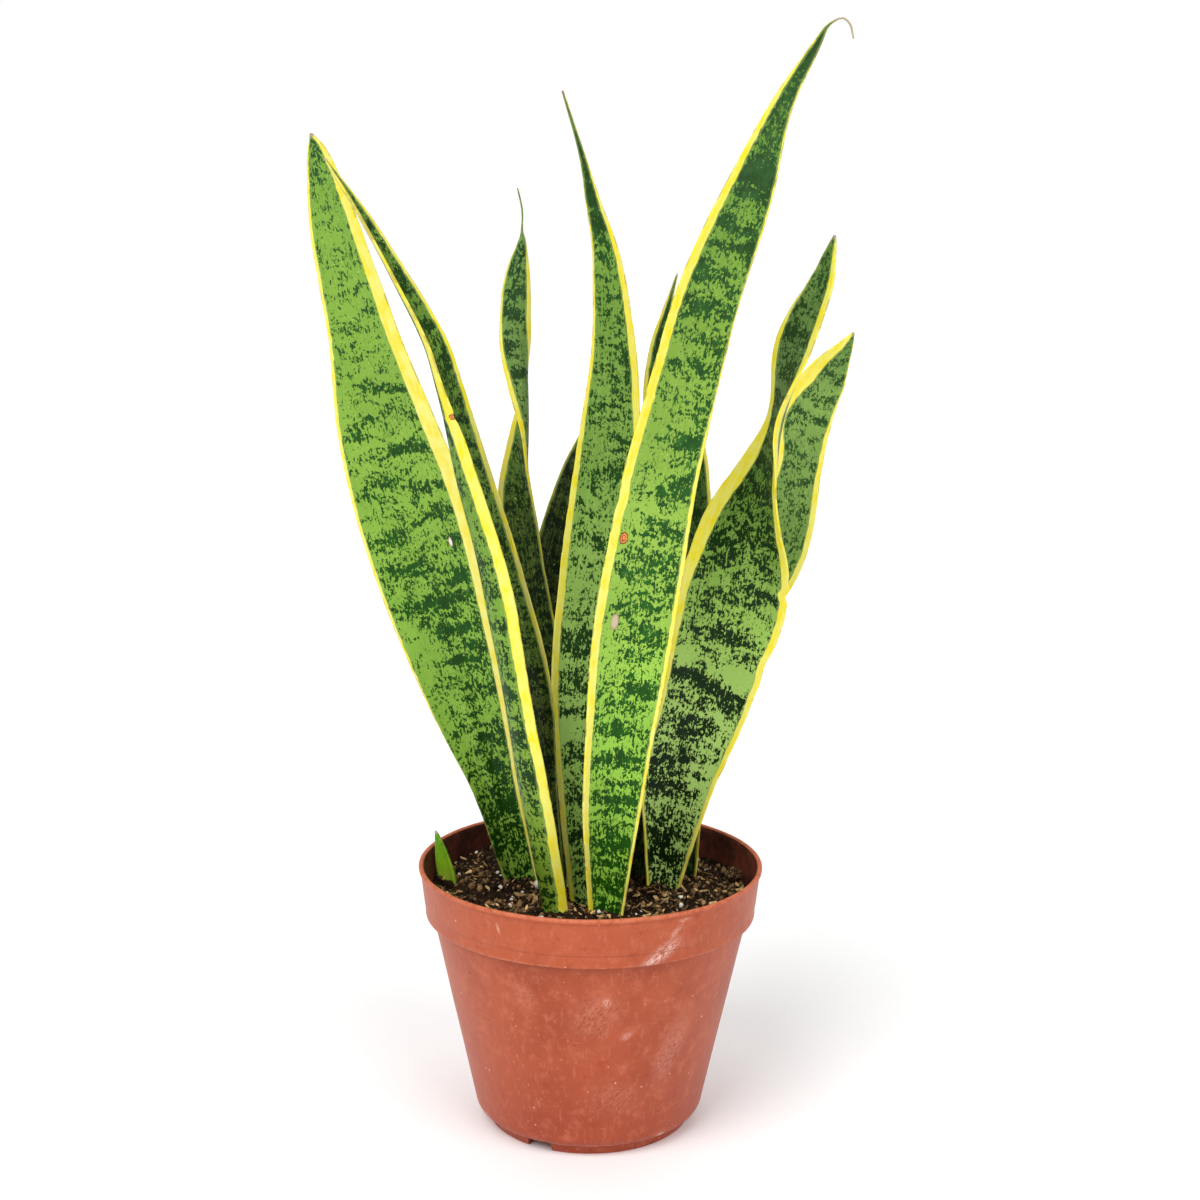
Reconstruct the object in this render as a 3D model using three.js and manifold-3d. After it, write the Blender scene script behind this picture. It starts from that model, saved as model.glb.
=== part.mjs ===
// A variegated snake plant (mother-in-law's tongue) in a moulded nursery pot.
//
// Millimetres, +Z up. The origin is on the ground, on the pot's axis, at the middle of its centre foot.
// -Y is the front. Each piece is one closed solid in its own named mesh.
//
//   pot          thin moulded plastic, open at the top, with a collar and a notched skirt
//   soil         potting mix, with a slot where each leaf comes up through it
//   rhizome      the buried creeping stem that the leaves grow from
//   leaf_*       nine stiff leaves, each a channel that opens out, leans and twists on its way up
//   pup_leaf     the first leaf of a new shoot by the pot's wall

import * as THREE from "three";
import { mergeVertices } from "three/addons/utils/BufferGeometryUtils.js";
import Module from "manifold-3d";

const wasm = await Module();
wasm.setup();

// ---------------------------------------------------------------- driving dimensions

const GAP = 0.3; // clearance between pieces that touch
const SLOT_GAP = 0.4; // clearance round a leaf or the rhizome where the soil is cut

const POT_RIM_RADIUS = 76.2; // a 152 mm (6 inch) pot, over the lip
const POT_HEIGHT = 118;
const POT_WALL = 1.6;
const POT_SEGMENTS = 48;
const LIP_HEIGHT = 2.2;
const COLLAR_FOOT_RADIUS = 73.2; // the sharp lower edge of the collar
const COLLAR_FOOT_Z = 96;
const WALL_TOP_RADIUS = 69.9; // where the tapered wall meets the step under the collar
const WALL_TOP_Z = 95;
const STEP_THICKNESS = 1.4;
const WALL_FOOT_RADIUS = 51.4;
const WALL_FOOT_Z = 10;
const SKIRT_RADIUS = 45.4; // the short skirt that the pot stands on
const SKIRT_HEIGHT = 5;
const SKIRT_WALL = 3;
const SKIRT_DRAFT = 1.2; // how much wider the skirt is at its top
const FOOT_ROUND_REACH = 1.6; // the wall's foot curves in over this much radius
const FOOT_ROUND_RISE = 4; // and this much height
const FLOOR_THICKNESS = 1.8;
const FLOOR_FILLET = 3; // where the floor meets the wall inside
const LIP_OVERHANG = 0.8; // the lip stands out this far from the collar
const LIP_BEVEL = 0.6;

const NOTCH_COUNT = 3; // drain notches in the skirt
const NOTCH_WIDTH = 12.6;
const NOTCH_HEIGHT = 4.6;
const FIRST_NOTCH_ANGLE = -117.5; // degrees from +X
const DRAIN_COUNT = 6; // round drain holes in the floor
const DRAIN_RADIUS = 4.5;
const DRAIN_CIRCLE = 28;
const CENTRE_FOOT_RADIUS = 9;

const SOIL_EDGE_Z = 100.5; // soil level at the pot's wall
const SOIL_CROWN_Z = 104; // and in the middle, where it is heaped round the leaves
const SOIL_BANK = 26; // the soil's slope from the wall inwards
const SOIL_CLEARANCE = 0.48; // from the pot's inner face

const RHIZOME_RADIUS = 6.5;
const RHIZOME_TOP_Z = 84; // the leaves start just above it

const LEAF_EDGE = 1.0; // thickness just inside a leaf's rounded margin
const LEAF_FOOT_THICKNESS = 5.2; // middle of the leaf where it leaves the rhizome
const LEAF_TOP_THICKNESS = 1.6; // and near its tip
const RINGS_PER_SPAN = 2; // cross-sections from one station to the next

// ---------------------------------------------------------------- leaves
//
// Each leaf is a list of stations from its foot to its tip:
//   [z, x, y, width, turn, fold]
// x, y, z is the middle of the line across the leaf from margin to margin, and width is that line's
// length. turn is the heading of that line from +X in degrees, so 0 faces the front, and a leaf
// whose turn changes on the way up is twisted. fold is the angle of the channel's arc: 0 is flat
// and 180 is a half round.

const LEAVES = {
  leaf_left_broad: [
    [86, -26, 12, 12, 10, 120],
    [104, -30, 12, 16, 5, 110],
    [150, -42, 10, 23, 0, 90],
    [190, -54, 8, 38, -5, 60],
    [230, -66, 5, 47, -8, 45],
    [270, -77, 2, 51, -10, 35],
    [310, -88.6, -1, 44.6, -12, 35],
    [350, -97.6, -5, 31.5, -15, 35],
    [390, -107, -10, 24, -20, 35],
    [420, -113, -14, 12, -25, 35],
    [431, -116, -15, 1, -25, 20],
  ],
  leaf_left_folded: [
    [86, -9, -20, 10, 95, 190],
    [104, -10, -21, 11, 95, 190],
    [150, -15, -26, 16, 84, 200],
    [201, -21, -31, 20, 68, 205],
    [251, -31, -35, 20, 78, 195],
    [301, -46, -39, 18, 76, 165],
    [331, -56, -42, 16.5, 68, 110],
    [351, -63, -44, 14, 62, 95],
    [375, -76.2, -46, 9.5, 58, 85],
    [400, -91, -49, 5.2, 54, 70],
    [420, -105, -51, 1, 50, 20],
  ],
  leaf_centre_slender: [
    [86, -1, -17, 9, 0, 120],
    [104, -2, -18, 12, -5, 110],
    [150, -3, -13, 22, -10, 90],
    [200, -3, -7, 30, -15, 70],
    [249, 2, -3, 33, -15, 60],
    [299, 6, 1, 28, -15, 55],
    [340, 8, 3, 20, -15, 50],
    [380, 5, 5, 12, -10, 45],
    [405, -1, 6, 6, -5, 40],
    [425, -6, 6, 2.4, 0, 20],
    [450, -14, 5, 0.8, 0, 10],
  ],
  leaf_tall: [
    [86, 6, -25, 10, 0, 130],
    [104, 7, -28, 14, 0, 120],
    [150, 9, -31, 24, 5, 90],
    [201, 14, -35, 31, 8, 60],
    [241, 19, -38, 34, 10, 45],
    [291, 27, -42, 31, 10, 40],
    [331, 36, -45, 28, 8, 40],
    [370, 46, -48, 25, 5, 40],
    [405, 59, -50, 20, 0, 40],
    [439, 71, -53, 9, -5, 35],
    [463, 84, -55, 3.4, -10, 30],
    [470, 88, -56, 1.4, -10, 10],
    [472.5, 91, -56, 0.9, -10, 10],
    [473.5, 94, -56, 0.8, -10, 10],
    [471, 97, -56, 0.8, -10, 10],
    [466, 98.5, -55, 0.6, -10, 10],
  ],
  leaf_right_twisted: [
    [86, 31, 5, 11, 0, 130],
    [104, 33, 4, 14, 0, 120],
    [150, 38, 1, 30, -5, 80],
    [201, 52, -4, 40, -8, 45],
    [241, 60, -10, 47, -12, 35],
    [271, 63, -13, 39, -35, 40],
    [296, 69, -17, 26, -60, 50],
    [319, 74, -20, 21, -85, 55],
    [346, 81, -21, 21, -50, 45],
    [370, 91, -24, 13, -40, 40],
    [384, 95, -25, 6, -35, 30],
    [392, 97, -26, 1, -30, 20],
  ],
  leaf_right_back: [
    [86, 38, 22, 10, 0, 130],
    [104, 41, 23, 14, 0, 120],
    [149, 42, 28, 20, 0, 90],
    [199, 54, 36, 22, 5, 60],
    [248, 83, 44, 27, 10, 45],
    [288, 93, 49, 22, 12, 40],
    [310, 95, 51, 26, 10, 40],
    [329, 105, 54, 19, 10, 40],
    [342, 113, 55, 8, 15, 30],
    [349, 117, 56, 1, 20, 20],
  ],
  leaf_back_twisted: [
    [86, -13, 1, 10, 30, 120],
    [104, -15, 1, 12, 30, 110],
    [150, -19, 9, 19, 25, 80],
    [199, -24, 19, 22, 20, 60],
    [249, -31, 24, 18, 15, 50],
    [279, -35, 25, 16, -20, 45],
    [304, -35, 28, 12, -60, 100],
    [324, -35, 29, 12, -115, 100],
    [349, -35, 31, 14, -165, 40],
    [372, -34, 33, 11, -180, 35],
    [387, -32, 34, 4, -180, 20],
    [393, -32, 35, 1, -180, 10],
    [402, -32, 35, 0.8, -180, 10],
    [411, -34, 36, 0.6, -180, 10],
  ],
  leaf_back_dark: [
    [86, -17, 22, 11, 0, 120],
    [104, -19, 24, 15, 0, 110],
    [149, -23, 30, 28, 0, 80],
    [199, -20, 36, 34, 5, 60],
    [248, -11, 42, 31, 5, 50],
    [283, -2, 47, 26, 5, 45],
    [309, 7, 49, 16, 5, 40],
    [327, 14, 51, 5, 5, 30],
    [335, 17, 52, 1, 5, 20],
  ],
  leaf_back_narrow: [
    [86, 18, 14, 9, 0, 120],
    [104, 21, 15, 12, 0, 110],
    [150, 28, 18, 18, -5, 80],
    [199, 35, 22, 24, -10, 60],
    [249, 38, 27, 27, -10, 50],
    [289, 38, 30, 26, -10, 45],
    [319, 32, 32, 21, -10, 40],
    [341, 30.5, 34, 13.5, -10, 40],
    [357, 31.5, 35, 5, -10, 35],
    [366, 33.5, 36, 2.2, -10, 20],
    [375, 36, 36, 0.8, -10, 10],
  ],
  pup_leaf: [
    [86, -55, 12, 6, -28, 90],
    [98, -63, 12, 6.5, -26, 90],
    [108, -66, 12, 8, -25, 70],
    [118, -68, 12, 5.5, -25, 50],
    [127, -70, 12, 1, -25, 30],
  ],
};

// The rhizome's runs, as points under the leaves that grow from them: [x, y].
const RHIZOME_RUNS = [
  [[-56, 12], [-40, 16], [-22, 13], [-9, -4], [2, -21], [14, -30]],
  [[-22, 30], [-17, 17], [-5, 8], [8, 8], [20, 9], [31, 10], [38, 17], [40, 28]],
];

// ---------------------------------------------------------------- helpers

const radians = THREE.MathUtils.degToRad;

function positionsOnly(geometry) {
  const bare = geometry.index ? geometry.toNonIndexed() : geometry.clone();
  bare.deleteAttribute("normal");
  bare.deleteAttribute("uv");
  return mergeVertices(bare, 1e-4);
}

function toSolid(geometry) {
  const merged = positionsOnly(geometry);
  const mesh = new wasm.Mesh({
    numProp: 3,
    vertProperties: new Float32Array(merged.attributes.position.array),
    triVerts: new Uint32Array(merged.index.array),
  });
  return new wasm.Manifold(mesh);
}

function toGeometry(solid) {
  const mesh = solid.getMesh();
  const geometry = new THREE.BufferGeometry();
  geometry.setAttribute("position", new THREE.BufferAttribute(mesh.vertProperties, 3));
  geometry.setIndex(new THREE.BufferAttribute(mesh.triVerts, 1));
  return geometry;
}

// A value of a Catmull-Rom curve through p1 and p2, a fraction t of the way from one to the other.
function splineValue(p0, p1, p2, p3, t) {
  const slope = (p2 - p0) * t;
  const bend = (2 * p0 - 5 * p1 + 4 * p2 - p3) * t * t;
  const twist = (3 * p1 - p0 - 3 * p2 + p3) * t * t * t;
  return 0.5 * (2 * p1 + slope + bend + twist);
}

// The stations with RINGS_PER_SPAN - 1 more between each two, on a smooth curve through them.
function smoothStations(stations) {
  const last = stations.length - 1;
  const extend = (near, far) => near.map((value, k) => 2 * value - far[k]);
  const padded = [
    extend(stations[0], stations[1]),
    ...stations,
    extend(stations[last], stations[last - 1]),
  ];
  const rows = [];
  for (let i = 0; i < last; i++) {
    const [before, here, next, after] = padded.slice(i, i + 4);
    for (let step = 0; step < RINGS_PER_SPAN; step++) {
      const t = step / RINGS_PER_SPAN;
      rows.push(here.map((value, k) => splineValue(before[k], value, next[k], after[k], t)));
    }
  }
  rows.push(stations[last]);
  return rows;
}

// Half of a leaf's cross-section is its inner face and half its outer face. u runs across the
// leaf from one margin (-1) to the other (1).
const ACROSS = [-0.9, -0.5, 0, 0.5, 0.9];

// One closed cross-section, margin first: [sideways, backwards] pairs from the line between margins.
function leafSection(width, fold, thickness, edge, grow) {
  const half = radians(Math.max(fold, 4)) / 2;
  const radius = width / (2 * Math.sin(half));
  const arc = (u, offset) => [
    (radius + offset) * Math.sin(u * half),
    (radius + offset) * Math.cos(u * half) - radius * Math.cos(half),
  ];
  const depth = (u) => edge + (thickness - edge) * (1 - u * u);
  const margin = 1 + grow / (radius * half);
  const inner = ACROSS.map((u) => arc(u, -grow));
  const outer = ACROSS.map((u) => arc(u, depth(u) + grow));
  return [arc(-margin, edge / 2), ...inner, arc(margin, edge / 2), ...outer.reverse()];
}

// A leaf lofted through its stations. grow makes it larger all over, for cutting its slot.
function leafGeometry(stations, grow = 0) {
  const rows = smoothStations(stations);
  const middles = rows.map(([z, x, y]) => new THREE.Vector3(x, y, z));
  const vertices = [];
  const ring = 2 * ACROSS.length + 2;
  rows.forEach(([, , , width, turn, fold], i) => {
    const before = middles[Math.max(i - 1, 0)];
    const after = middles[Math.min(i + 1, rows.length - 1)];
    const along = after.clone().sub(before).normalize();
    const heading = radians(turn);
    const across = new THREE.Vector3(Math.cos(heading), Math.sin(heading), 0);
    across.addScaledVector(along, -across.dot(along)).normalize();
    const back = along.clone().cross(across);
    const rise = i / (rows.length - 1);
    const taper = THREE.MathUtils.lerp(LEAF_FOOT_THICKNESS, LEAF_TOP_THICKNESS, rise);
    const thickness = Math.min(taper, 0.25 + 0.6 * Math.max(width, 0.6));
    const edge = Math.min(LEAF_EDGE, 0.7 * thickness);
    const middle = middles[i].clone().addScaledVector(along, i === 0 ? -grow : 0);
    for (const [sideways, backwards] of leafSection(width, fold, thickness, edge, grow)) {
      const point = middle.clone();
      point.addScaledVector(across, sideways).addScaledVector(back, backwards);
      vertices.push(point.x, point.y, point.z);
    }
  });
  const faces = [];
  const quad = (a, b, c, d) => faces.push(a, b, c, a, c, d);
  for (let i = 0; i < rows.length - 1; i++) {
    for (let k = 0; k < ring; k++) {
      const next = (k + 1) % ring;
      quad(i * ring + k, i * ring + next, (i + 1) * ring + next, (i + 1) * ring + k);
    }
  }
  // Each end is closed by strips between the inner and the outer face.
  const top = (rows.length - 1) * ring;
  for (let k = 0; k < ring / 2; k++) {
    const a = k;
    const b = k + 1;
    const c = (ring - k - 1) % ring;
    const d = (ring - k) % ring;
    if (k === 0) {
      faces.push(a, c, b);
      faces.push(top + a, top + b, top + c);
    } else if (b === c) {
      faces.push(a, d, b);
      faces.push(top + a, top + b, top + d);
    } else {
      quad(a, d, c, b);
      quad(top + a, top + b, top + c, top + d);
    }
  }
  const geometry = new THREE.BufferGeometry();
  geometry.setAttribute("position", new THREE.Float32BufferAttribute(vertices, 3));
  geometry.setIndex(faces);
  return geometry;
}

// A closed solid of revolution from [radius, z] pairs that go round the section once, upwards
// on the outside.
function lathe(profile, segments) {
  const points = profile.map(([radius, z]) => new THREE.Vector2(radius, z));
  points.push(points[0].clone());
  const geometry = new THREE.LatheGeometry(points, segments);
  geometry.rotateX(Math.PI / 2);
  return geometry;
}

// ---------------------------------------------------------------- pot

// The step from the tapered wall out to the collar's lower edge.
function collarStep(inset, lift) {
  return [
    [WALL_TOP_RADIUS - inset, WALL_TOP_Z + lift],
    [COLLAR_FOOT_RADIUS - inset, COLLAR_FOOT_Z + lift],
  ];
}

function potGeometry() {
  const floorTop = SKIRT_HEIGHT + FLOOR_THICKNESS;
  const lipFoot = POT_HEIGHT - LIP_HEIGHT;
  const outside = [
    [SKIRT_RADIUS - SKIRT_WALL, 0],
    [SKIRT_RADIUS, 0],
    [SKIRT_RADIUS + SKIRT_DRAFT, SKIRT_HEIGHT - LIP_BEVEL],
    [WALL_FOOT_RADIUS - FOOT_ROUND_REACH, WALL_FOOT_Z - FOOT_ROUND_RISE],
    [WALL_FOOT_RADIUS - FOOT_ROUND_REACH / 4, WALL_FOOT_Z - FOOT_ROUND_RISE / 2],
    [WALL_FOOT_RADIUS, WALL_FOOT_Z],
    ...collarStep(0, 0),
    [POT_RIM_RADIUS - LIP_OVERHANG, lipFoot],
    [POT_RIM_RADIUS, lipFoot + LIP_BEVEL],
    [POT_RIM_RADIUS, POT_HEIGHT - LIP_BEVEL],
    [POT_RIM_RADIUS - LIP_BEVEL, POT_HEIGHT],
  ];
  const inside = [
    [POT_RIM_RADIUS - POT_WALL, POT_HEIGHT],
    [POT_RIM_RADIUS - POT_WALL - LIP_BEVEL, POT_HEIGHT - LIP_BEVEL],
    ...collarStep(POT_WALL, STEP_THICKNESS).reverse(),
    [WALL_FOOT_RADIUS - POT_WALL, WALL_FOOT_Z + 1],
    [WALL_FOOT_RADIUS - POT_WALL - FLOOR_FILLET, floorTop],
    [0, floorTop],
    [0, SKIRT_HEIGHT],
    [SKIRT_RADIUS - SKIRT_WALL, SKIRT_HEIGHT],
  ];
  let pot = toSolid(lathe([...outside, ...inside], POT_SEGMENTS));

  const footHeight = SKIRT_HEIGHT + FLOOR_THICKNESS / 3;
  const foot = new THREE.CylinderGeometry(CENTRE_FOOT_RADIUS, CENTRE_FOOT_RADIUS + 1, footHeight, 32);
  foot.rotateX(-Math.PI / 2);
  foot.translate(0, 0, footHeight / 2);
  pot = pot.add(toSolid(foot));

  for (let i = 0; i < NOTCH_COUNT; i++) {
    const notch = new THREE.BoxGeometry(3 * SKIRT_WALL, NOTCH_WIDTH, 2 * NOTCH_HEIGHT);
    notch.translate(SKIRT_RADIUS - SKIRT_WALL / 2, 0, 0);
    notch.rotateZ(radians(FIRST_NOTCH_ANGLE + (360 / NOTCH_COUNT) * i));
    pot = pot.subtract(toSolid(notch));
  }
  for (let i = 0; i < DRAIN_COUNT; i++) {
    const hole = new THREE.CylinderGeometry(DRAIN_RADIUS, DRAIN_RADIUS, 4 * FLOOR_THICKNESS, 16);
    hole.rotateX(Math.PI / 2);
    hole.translate(DRAIN_CIRCLE, 0, SKIRT_HEIGHT + FLOOR_THICKNESS / 2);
    hole.rotateZ(radians((360 / DRAIN_COUNT) * i));
    pot = pot.subtract(toSolid(hole));
  }
  return toGeometry(pot);
}

// ---------------------------------------------------------------- rhizome and soil

function rhizomeSolid(grow = 0) {
  const section = new THREE.Shape();
  section.absarc(0, 0, RHIZOME_RADIUS + grow, 0, 2 * Math.PI, false);
  const z = RHIZOME_TOP_Z - RHIZOME_RADIUS;
  const runs = RHIZOME_RUNS.map((points) => {
    const stops = points.map(([x, y]) => new THREE.Vector3(x, y, z));
    const [first, second] = stops;
    const [last, beforeLast] = stops.slice().reverse();
    first.addScaledVector(first.clone().sub(second).normalize(), grow);
    last.addScaledVector(last.clone().sub(beforeLast).normalize(), grow);
    const route = new THREE.CatmullRomCurve3(stops);
    const run = new THREE.ExtrudeGeometry(section, { steps: 18, curveSegments: 5, extrudePath: route });
    return toSolid(run);
  });
  return runs.reduce((whole, run) => whole.add(run));
}

function soilGeometry() {
  const floorTop = SKIRT_HEIGHT + FLOOR_THICKNESS + GAP;
  const wall = POT_WALL + SOIL_CLEARANCE;
  const profile = [
    [0, floorTop],
    [WALL_FOOT_RADIUS - wall - FLOOR_FILLET, floorTop],
    [WALL_FOOT_RADIUS - wall, WALL_FOOT_Z + 1],
    ...collarStep(wall, STEP_THICKNESS + GAP),
    [COLLAR_FOOT_RADIUS - wall, SOIL_EDGE_Z],
    [COLLAR_FOOT_RADIUS - SOIL_BANK, SOIL_CROWN_Z - 1],
    [0, SOIL_CROWN_Z],
  ];
  let soil = toSolid(lathe(profile, POT_SEGMENTS));
  soil = soil.subtract(rhizomeSolid(SLOT_GAP));
  for (const stations of Object.values(LEAVES)) {
    soil = soil.subtract(toSolid(leafGeometry(stations, SLOT_GAP)));
  }
  return toGeometry(soil);
}

// ---------------------------------------------------------------- materials and assembly

const terracottaPlastic = () =>
  new THREE.MeshStandardMaterial({ color: 0xc06545, roughness: 0.62, metalness: 0 });
const pottingMix = () =>
  new THREE.MeshStandardMaterial({ color: 0x3a2a20, roughness: 0.95, metalness: 0 });
const rhizomeSkin = () =>
  new THREE.MeshStandardMaterial({ color: 0xc98f4e, roughness: 0.7, metalness: 0 });
const leafGreen = (color) =>
  new THREE.MeshStandardMaterial({ color, roughness: 0.42, metalness: 0 });

const LEAF_COLORS = {
  leaf_left_broad: 0x4f8f2e,
  leaf_left_folded: 0x5a9434,
  leaf_centre_slender: 0x52883a,
  leaf_tall: 0x4c8c30,
  leaf_right_twisted: 0x568a3c,
  leaf_right_back: 0x64944a,
  leaf_back_twisted: 0x5c8a46,
  leaf_back_dark: 0x234a2c,
  leaf_back_narrow: 0x547c44,
  pup_leaf: 0x7fbe3c,
};

const plant = new THREE.Group();

function addPiece(name, geometry, material) {
  const mesh = new THREE.Mesh(geometry, material);
  mesh.name = name;
  plant.add(mesh);
}

addPiece("pot", potGeometry(), terracottaPlastic());
addPiece("soil", soilGeometry(), pottingMix());
addPiece("rhizome", toGeometry(rhizomeSolid()), rhizomeSkin());
for (const [name, stations] of Object.entries(LEAVES)) {
  addPiece(name, leafGeometry(stations), leafGreen(LEAF_COLORS[name]));
}

export default plant;
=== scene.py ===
"""A variegated snake plant in a plastic nursery pot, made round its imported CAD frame.

Lengths are millimetres until a mesh is made, and MM turns them into Blender's metres. The frame is
the CAD part's: +Z is up the pot's axis and -Y is the front.
"""

import math
import random

import bmesh
import bpy
import numpy as np
from mathutils import Matrix, Vector
from mathutils import noise as lumps


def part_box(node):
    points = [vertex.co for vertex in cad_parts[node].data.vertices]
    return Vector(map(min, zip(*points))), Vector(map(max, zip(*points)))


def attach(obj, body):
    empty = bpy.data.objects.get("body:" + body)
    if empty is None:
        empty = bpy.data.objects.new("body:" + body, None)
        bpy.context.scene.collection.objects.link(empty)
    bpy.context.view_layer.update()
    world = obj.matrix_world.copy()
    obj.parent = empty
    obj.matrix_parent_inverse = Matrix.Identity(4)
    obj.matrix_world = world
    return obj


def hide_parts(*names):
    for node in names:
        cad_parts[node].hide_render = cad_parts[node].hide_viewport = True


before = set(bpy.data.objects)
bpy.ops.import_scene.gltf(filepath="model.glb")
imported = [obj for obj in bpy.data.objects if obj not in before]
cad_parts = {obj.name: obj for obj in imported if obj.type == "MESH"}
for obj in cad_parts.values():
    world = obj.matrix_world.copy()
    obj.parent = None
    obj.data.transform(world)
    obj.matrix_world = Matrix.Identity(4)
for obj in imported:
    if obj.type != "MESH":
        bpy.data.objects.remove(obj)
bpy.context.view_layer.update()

MM = 0.001

# ------------------------------------------------------------------------------- camera and light

CAMERA_AT = (3.3, -813.0, 392.5)
CAMERA_PITCH = 79.1  # degrees up from straight down
CAMERA_ROLL = 0.47
CAMERA_LENS = 57.3
CAMERA_SENSOR = 36
AMBIENT = 0.27  # the white light that comes from all round
BACKDROP = 1.0  # how bright the camera sees what is behind the floor

scene = bpy.context.scene
scene.view_settings.view_transform = "Standard"
scene.view_settings.look = "None"

camera = bpy.data.objects.new("camera", bpy.data.cameras.new("camera"))
camera.data.lens = CAMERA_LENS
camera.data.sensor_width = CAMERA_SENSOR
camera.data.clip_end = 100
tilt = Matrix.Rotation(math.radians(CAMERA_PITCH), 4, "X")
tilt = tilt @ Matrix.Rotation(math.radians(CAMERA_ROLL), 4, "Z")
camera.matrix_world = Matrix.Translation(Vector(CAMERA_AT) * MM) @ tilt
scene.collection.objects.link(camera)
scene.camera = camera


def linear(rgb):
    """A colour given as 0-255 screen values, as the linear RGBA that Blender works in."""
    parts = [value / 255 for value in rgb]
    return tuple(p / 12.92 if p <= 0.04045 else ((p + 0.055) / 1.055) ** 2.4 for p in parts) + (1.0,)


def sun(name, azimuth, elevation, strength, spread):
    """A soft light from far away. azimuth is measured from the front (-Y) towards the right (+X)."""
    light = bpy.data.lights.new(name, "SUN")
    light.energy = strength
    light.angle = math.radians(spread)
    lamp = bpy.data.objects.new(name, light)
    around = math.radians(azimuth)
    up = math.radians(elevation)
    source = Vector((math.sin(around) * math.cos(up), -math.cos(around) * math.cos(up), math.sin(up)))
    lamp.rotation_euler = source.to_track_quat("Z", "Y").to_euler()
    scene.collection.objects.link(lamp)


sun("key_left", -38, 46, 2.05, 40)
sun("key_right", 42, 40, 1.30, 45)
sun("top_soft", 180, 70, 0.85, 60)

world = bpy.data.worlds.new("studio")
scene.world = world
world.use_nodes = True
sky = world.node_tree.nodes["Background"]
sky.inputs["Color"].default_value = (1, 1, 1, 1)
sky.inputs["Strength"].default_value = AMBIENT
backdrop = world.node_tree.nodes.new("ShaderNodeBackground")
backdrop.inputs["Color"].default_value = (1, 1, 1, 1)
backdrop.inputs["Strength"].default_value = BACKDROP
rays = world.node_tree.nodes.new("ShaderNodeLightPath")
choose = world.node_tree.nodes.new("ShaderNodeMixShader")
world.node_tree.links.new(rays.outputs["Is Camera Ray"], choose.inputs[0])
world.node_tree.links.new(sky.outputs[0], choose.inputs[1])
world.node_tree.links.new(backdrop.outputs[0], choose.inputs[2])
world.node_tree.links.new(choose.outputs[0], world.node_tree.nodes["World Output"].inputs["Surface"])


# ------------------------------------------------------------------------------- materials


class Graph:
    """A material's node tree, built by small calls that each return an output socket."""

    def __init__(self, name):
        self.material = bpy.data.materials.new(name)
        self.material.use_nodes = True
        self.tree = self.material.node_tree
        self.shader = self.tree.nodes["Principled BSDF"]

    def put(self, socket, value):
        if isinstance(value, bpy.types.NodeSocket):
            self.tree.links.new(value, socket)
        else:
            socket.default_value = value

    def node(self, kind, inputs=(), **settings):
        made = self.tree.nodes.new(kind)
        for key, value in settings.items():
            setattr(made, key, value)
        for key, value in dict(inputs).items():
            self.put(made.inputs[key], value)
        return made

    def math(self, operation, *values):
        made = self.node("ShaderNodeMath", operation=operation)
        for socket, value in zip(made.inputs, values):
            self.put(socket, value)
        return made.outputs[0]

    def total(self, *terms):
        """The sum of value * weight over the (value, weight) terms."""
        whole = 0.0
        for value, weight in terms:
            whole = self.math("MULTIPLY_ADD", value, weight, whole)
        return whole

    def mix(self, factor, a, b, blend="MIX"):
        """a where factor is 0 and b where it is 1. Each is a socket, or 0-255 screen values."""
        made = self.node("ShaderNodeMix", data_type="RGBA", blend_type=blend)
        self.put(made.inputs[0], factor)
        for socket, color in ((made.inputs[6], a), (made.inputs[7], b)):
            self.put(socket, linear(color) if isinstance(color, tuple) else color)
        return made.outputs[2]

    def over(self, base, mask, amount, color):
        """base with a colour laid over it by mask times amount."""
        return self.mix(self.math("MULTIPLY", mask, amount), base, color)

    def vector(self, x, y, z):
        return self.node("ShaderNodeCombineXYZ", {0: x, 1: y, 2: z}).outputs[0]

    def split(self, vector):
        return self.node("ShaderNodeSeparateXYZ", {0: vector}).outputs

    def noise(self, vector, scale=1.0, detail=2.0, roughness=0.5):
        inputs = {"Vector": vector, "Scale": scale, "Detail": detail, "Roughness": roughness}
        return self.node("ShaderNodeTexNoise", inputs).outputs[0]

    def cells(self, vector, scale=1.0):
        """The distance to the nearest of a scatter of points."""
        return self.node("ShaderNodeTexVoronoi", {"Vector": vector, "Scale": scale}).outputs["Distance"]

    def step(self, value, low, high):
        """0 below low and 1 above high, smooth between them. It falls where low is above high."""
        start, end, a, b = (low, high, 0.0, 1.0) if low < high else (high, low, 1.0, 0.0)
        inputs = {0: value, 1: start, 2: end, 3: a, 4: b}
        return self.node("ShaderNodeMapRange", inputs, interpolation_type="SMOOTHSTEP").outputs[0]

    def near(self, value, centre, far, close):
        """0 where value is further than far from centre, and 1 where it is closer than close."""
        return self.step(self.math("ABSOLUTE", self.math("SUBTRACT", value, centre)), far, close)

    def shake(self, noise, amount, value):
        """value moved up and down by a noise around 0.5."""
        return self.math("MULTIPLY_ADD", self.math("SUBTRACT", noise, 0.5), amount, value)

    def length(self, a, b):
        squares = self.math("ADD", self.math("MULTIPLY", a, a), self.math("MULTIPLY", b, b))
        return self.math("SQRT", squares)

    def attribute(self, name):
        return self.node("ShaderNodeAttribute", attribute_name=name).outputs

    def finish(self, color, roughness, height, relief, specular=0.5):
        """relief is the height, in mm, that a change of 1 in height stands for."""
        self.put(self.shader.inputs["Base Color"], color)
        self.put(self.shader.inputs["Roughness"], roughness)
        self.shader.inputs["Specular IOR Level"].default_value = specular
        inputs = {"Strength": 1.0, "Distance": relief * MM, "Height": height}
        bump = self.node("ShaderNodeBump", inputs)
        self.put(self.shader.inputs["Normal"], bump.outputs[0])
        return self.material


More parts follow.
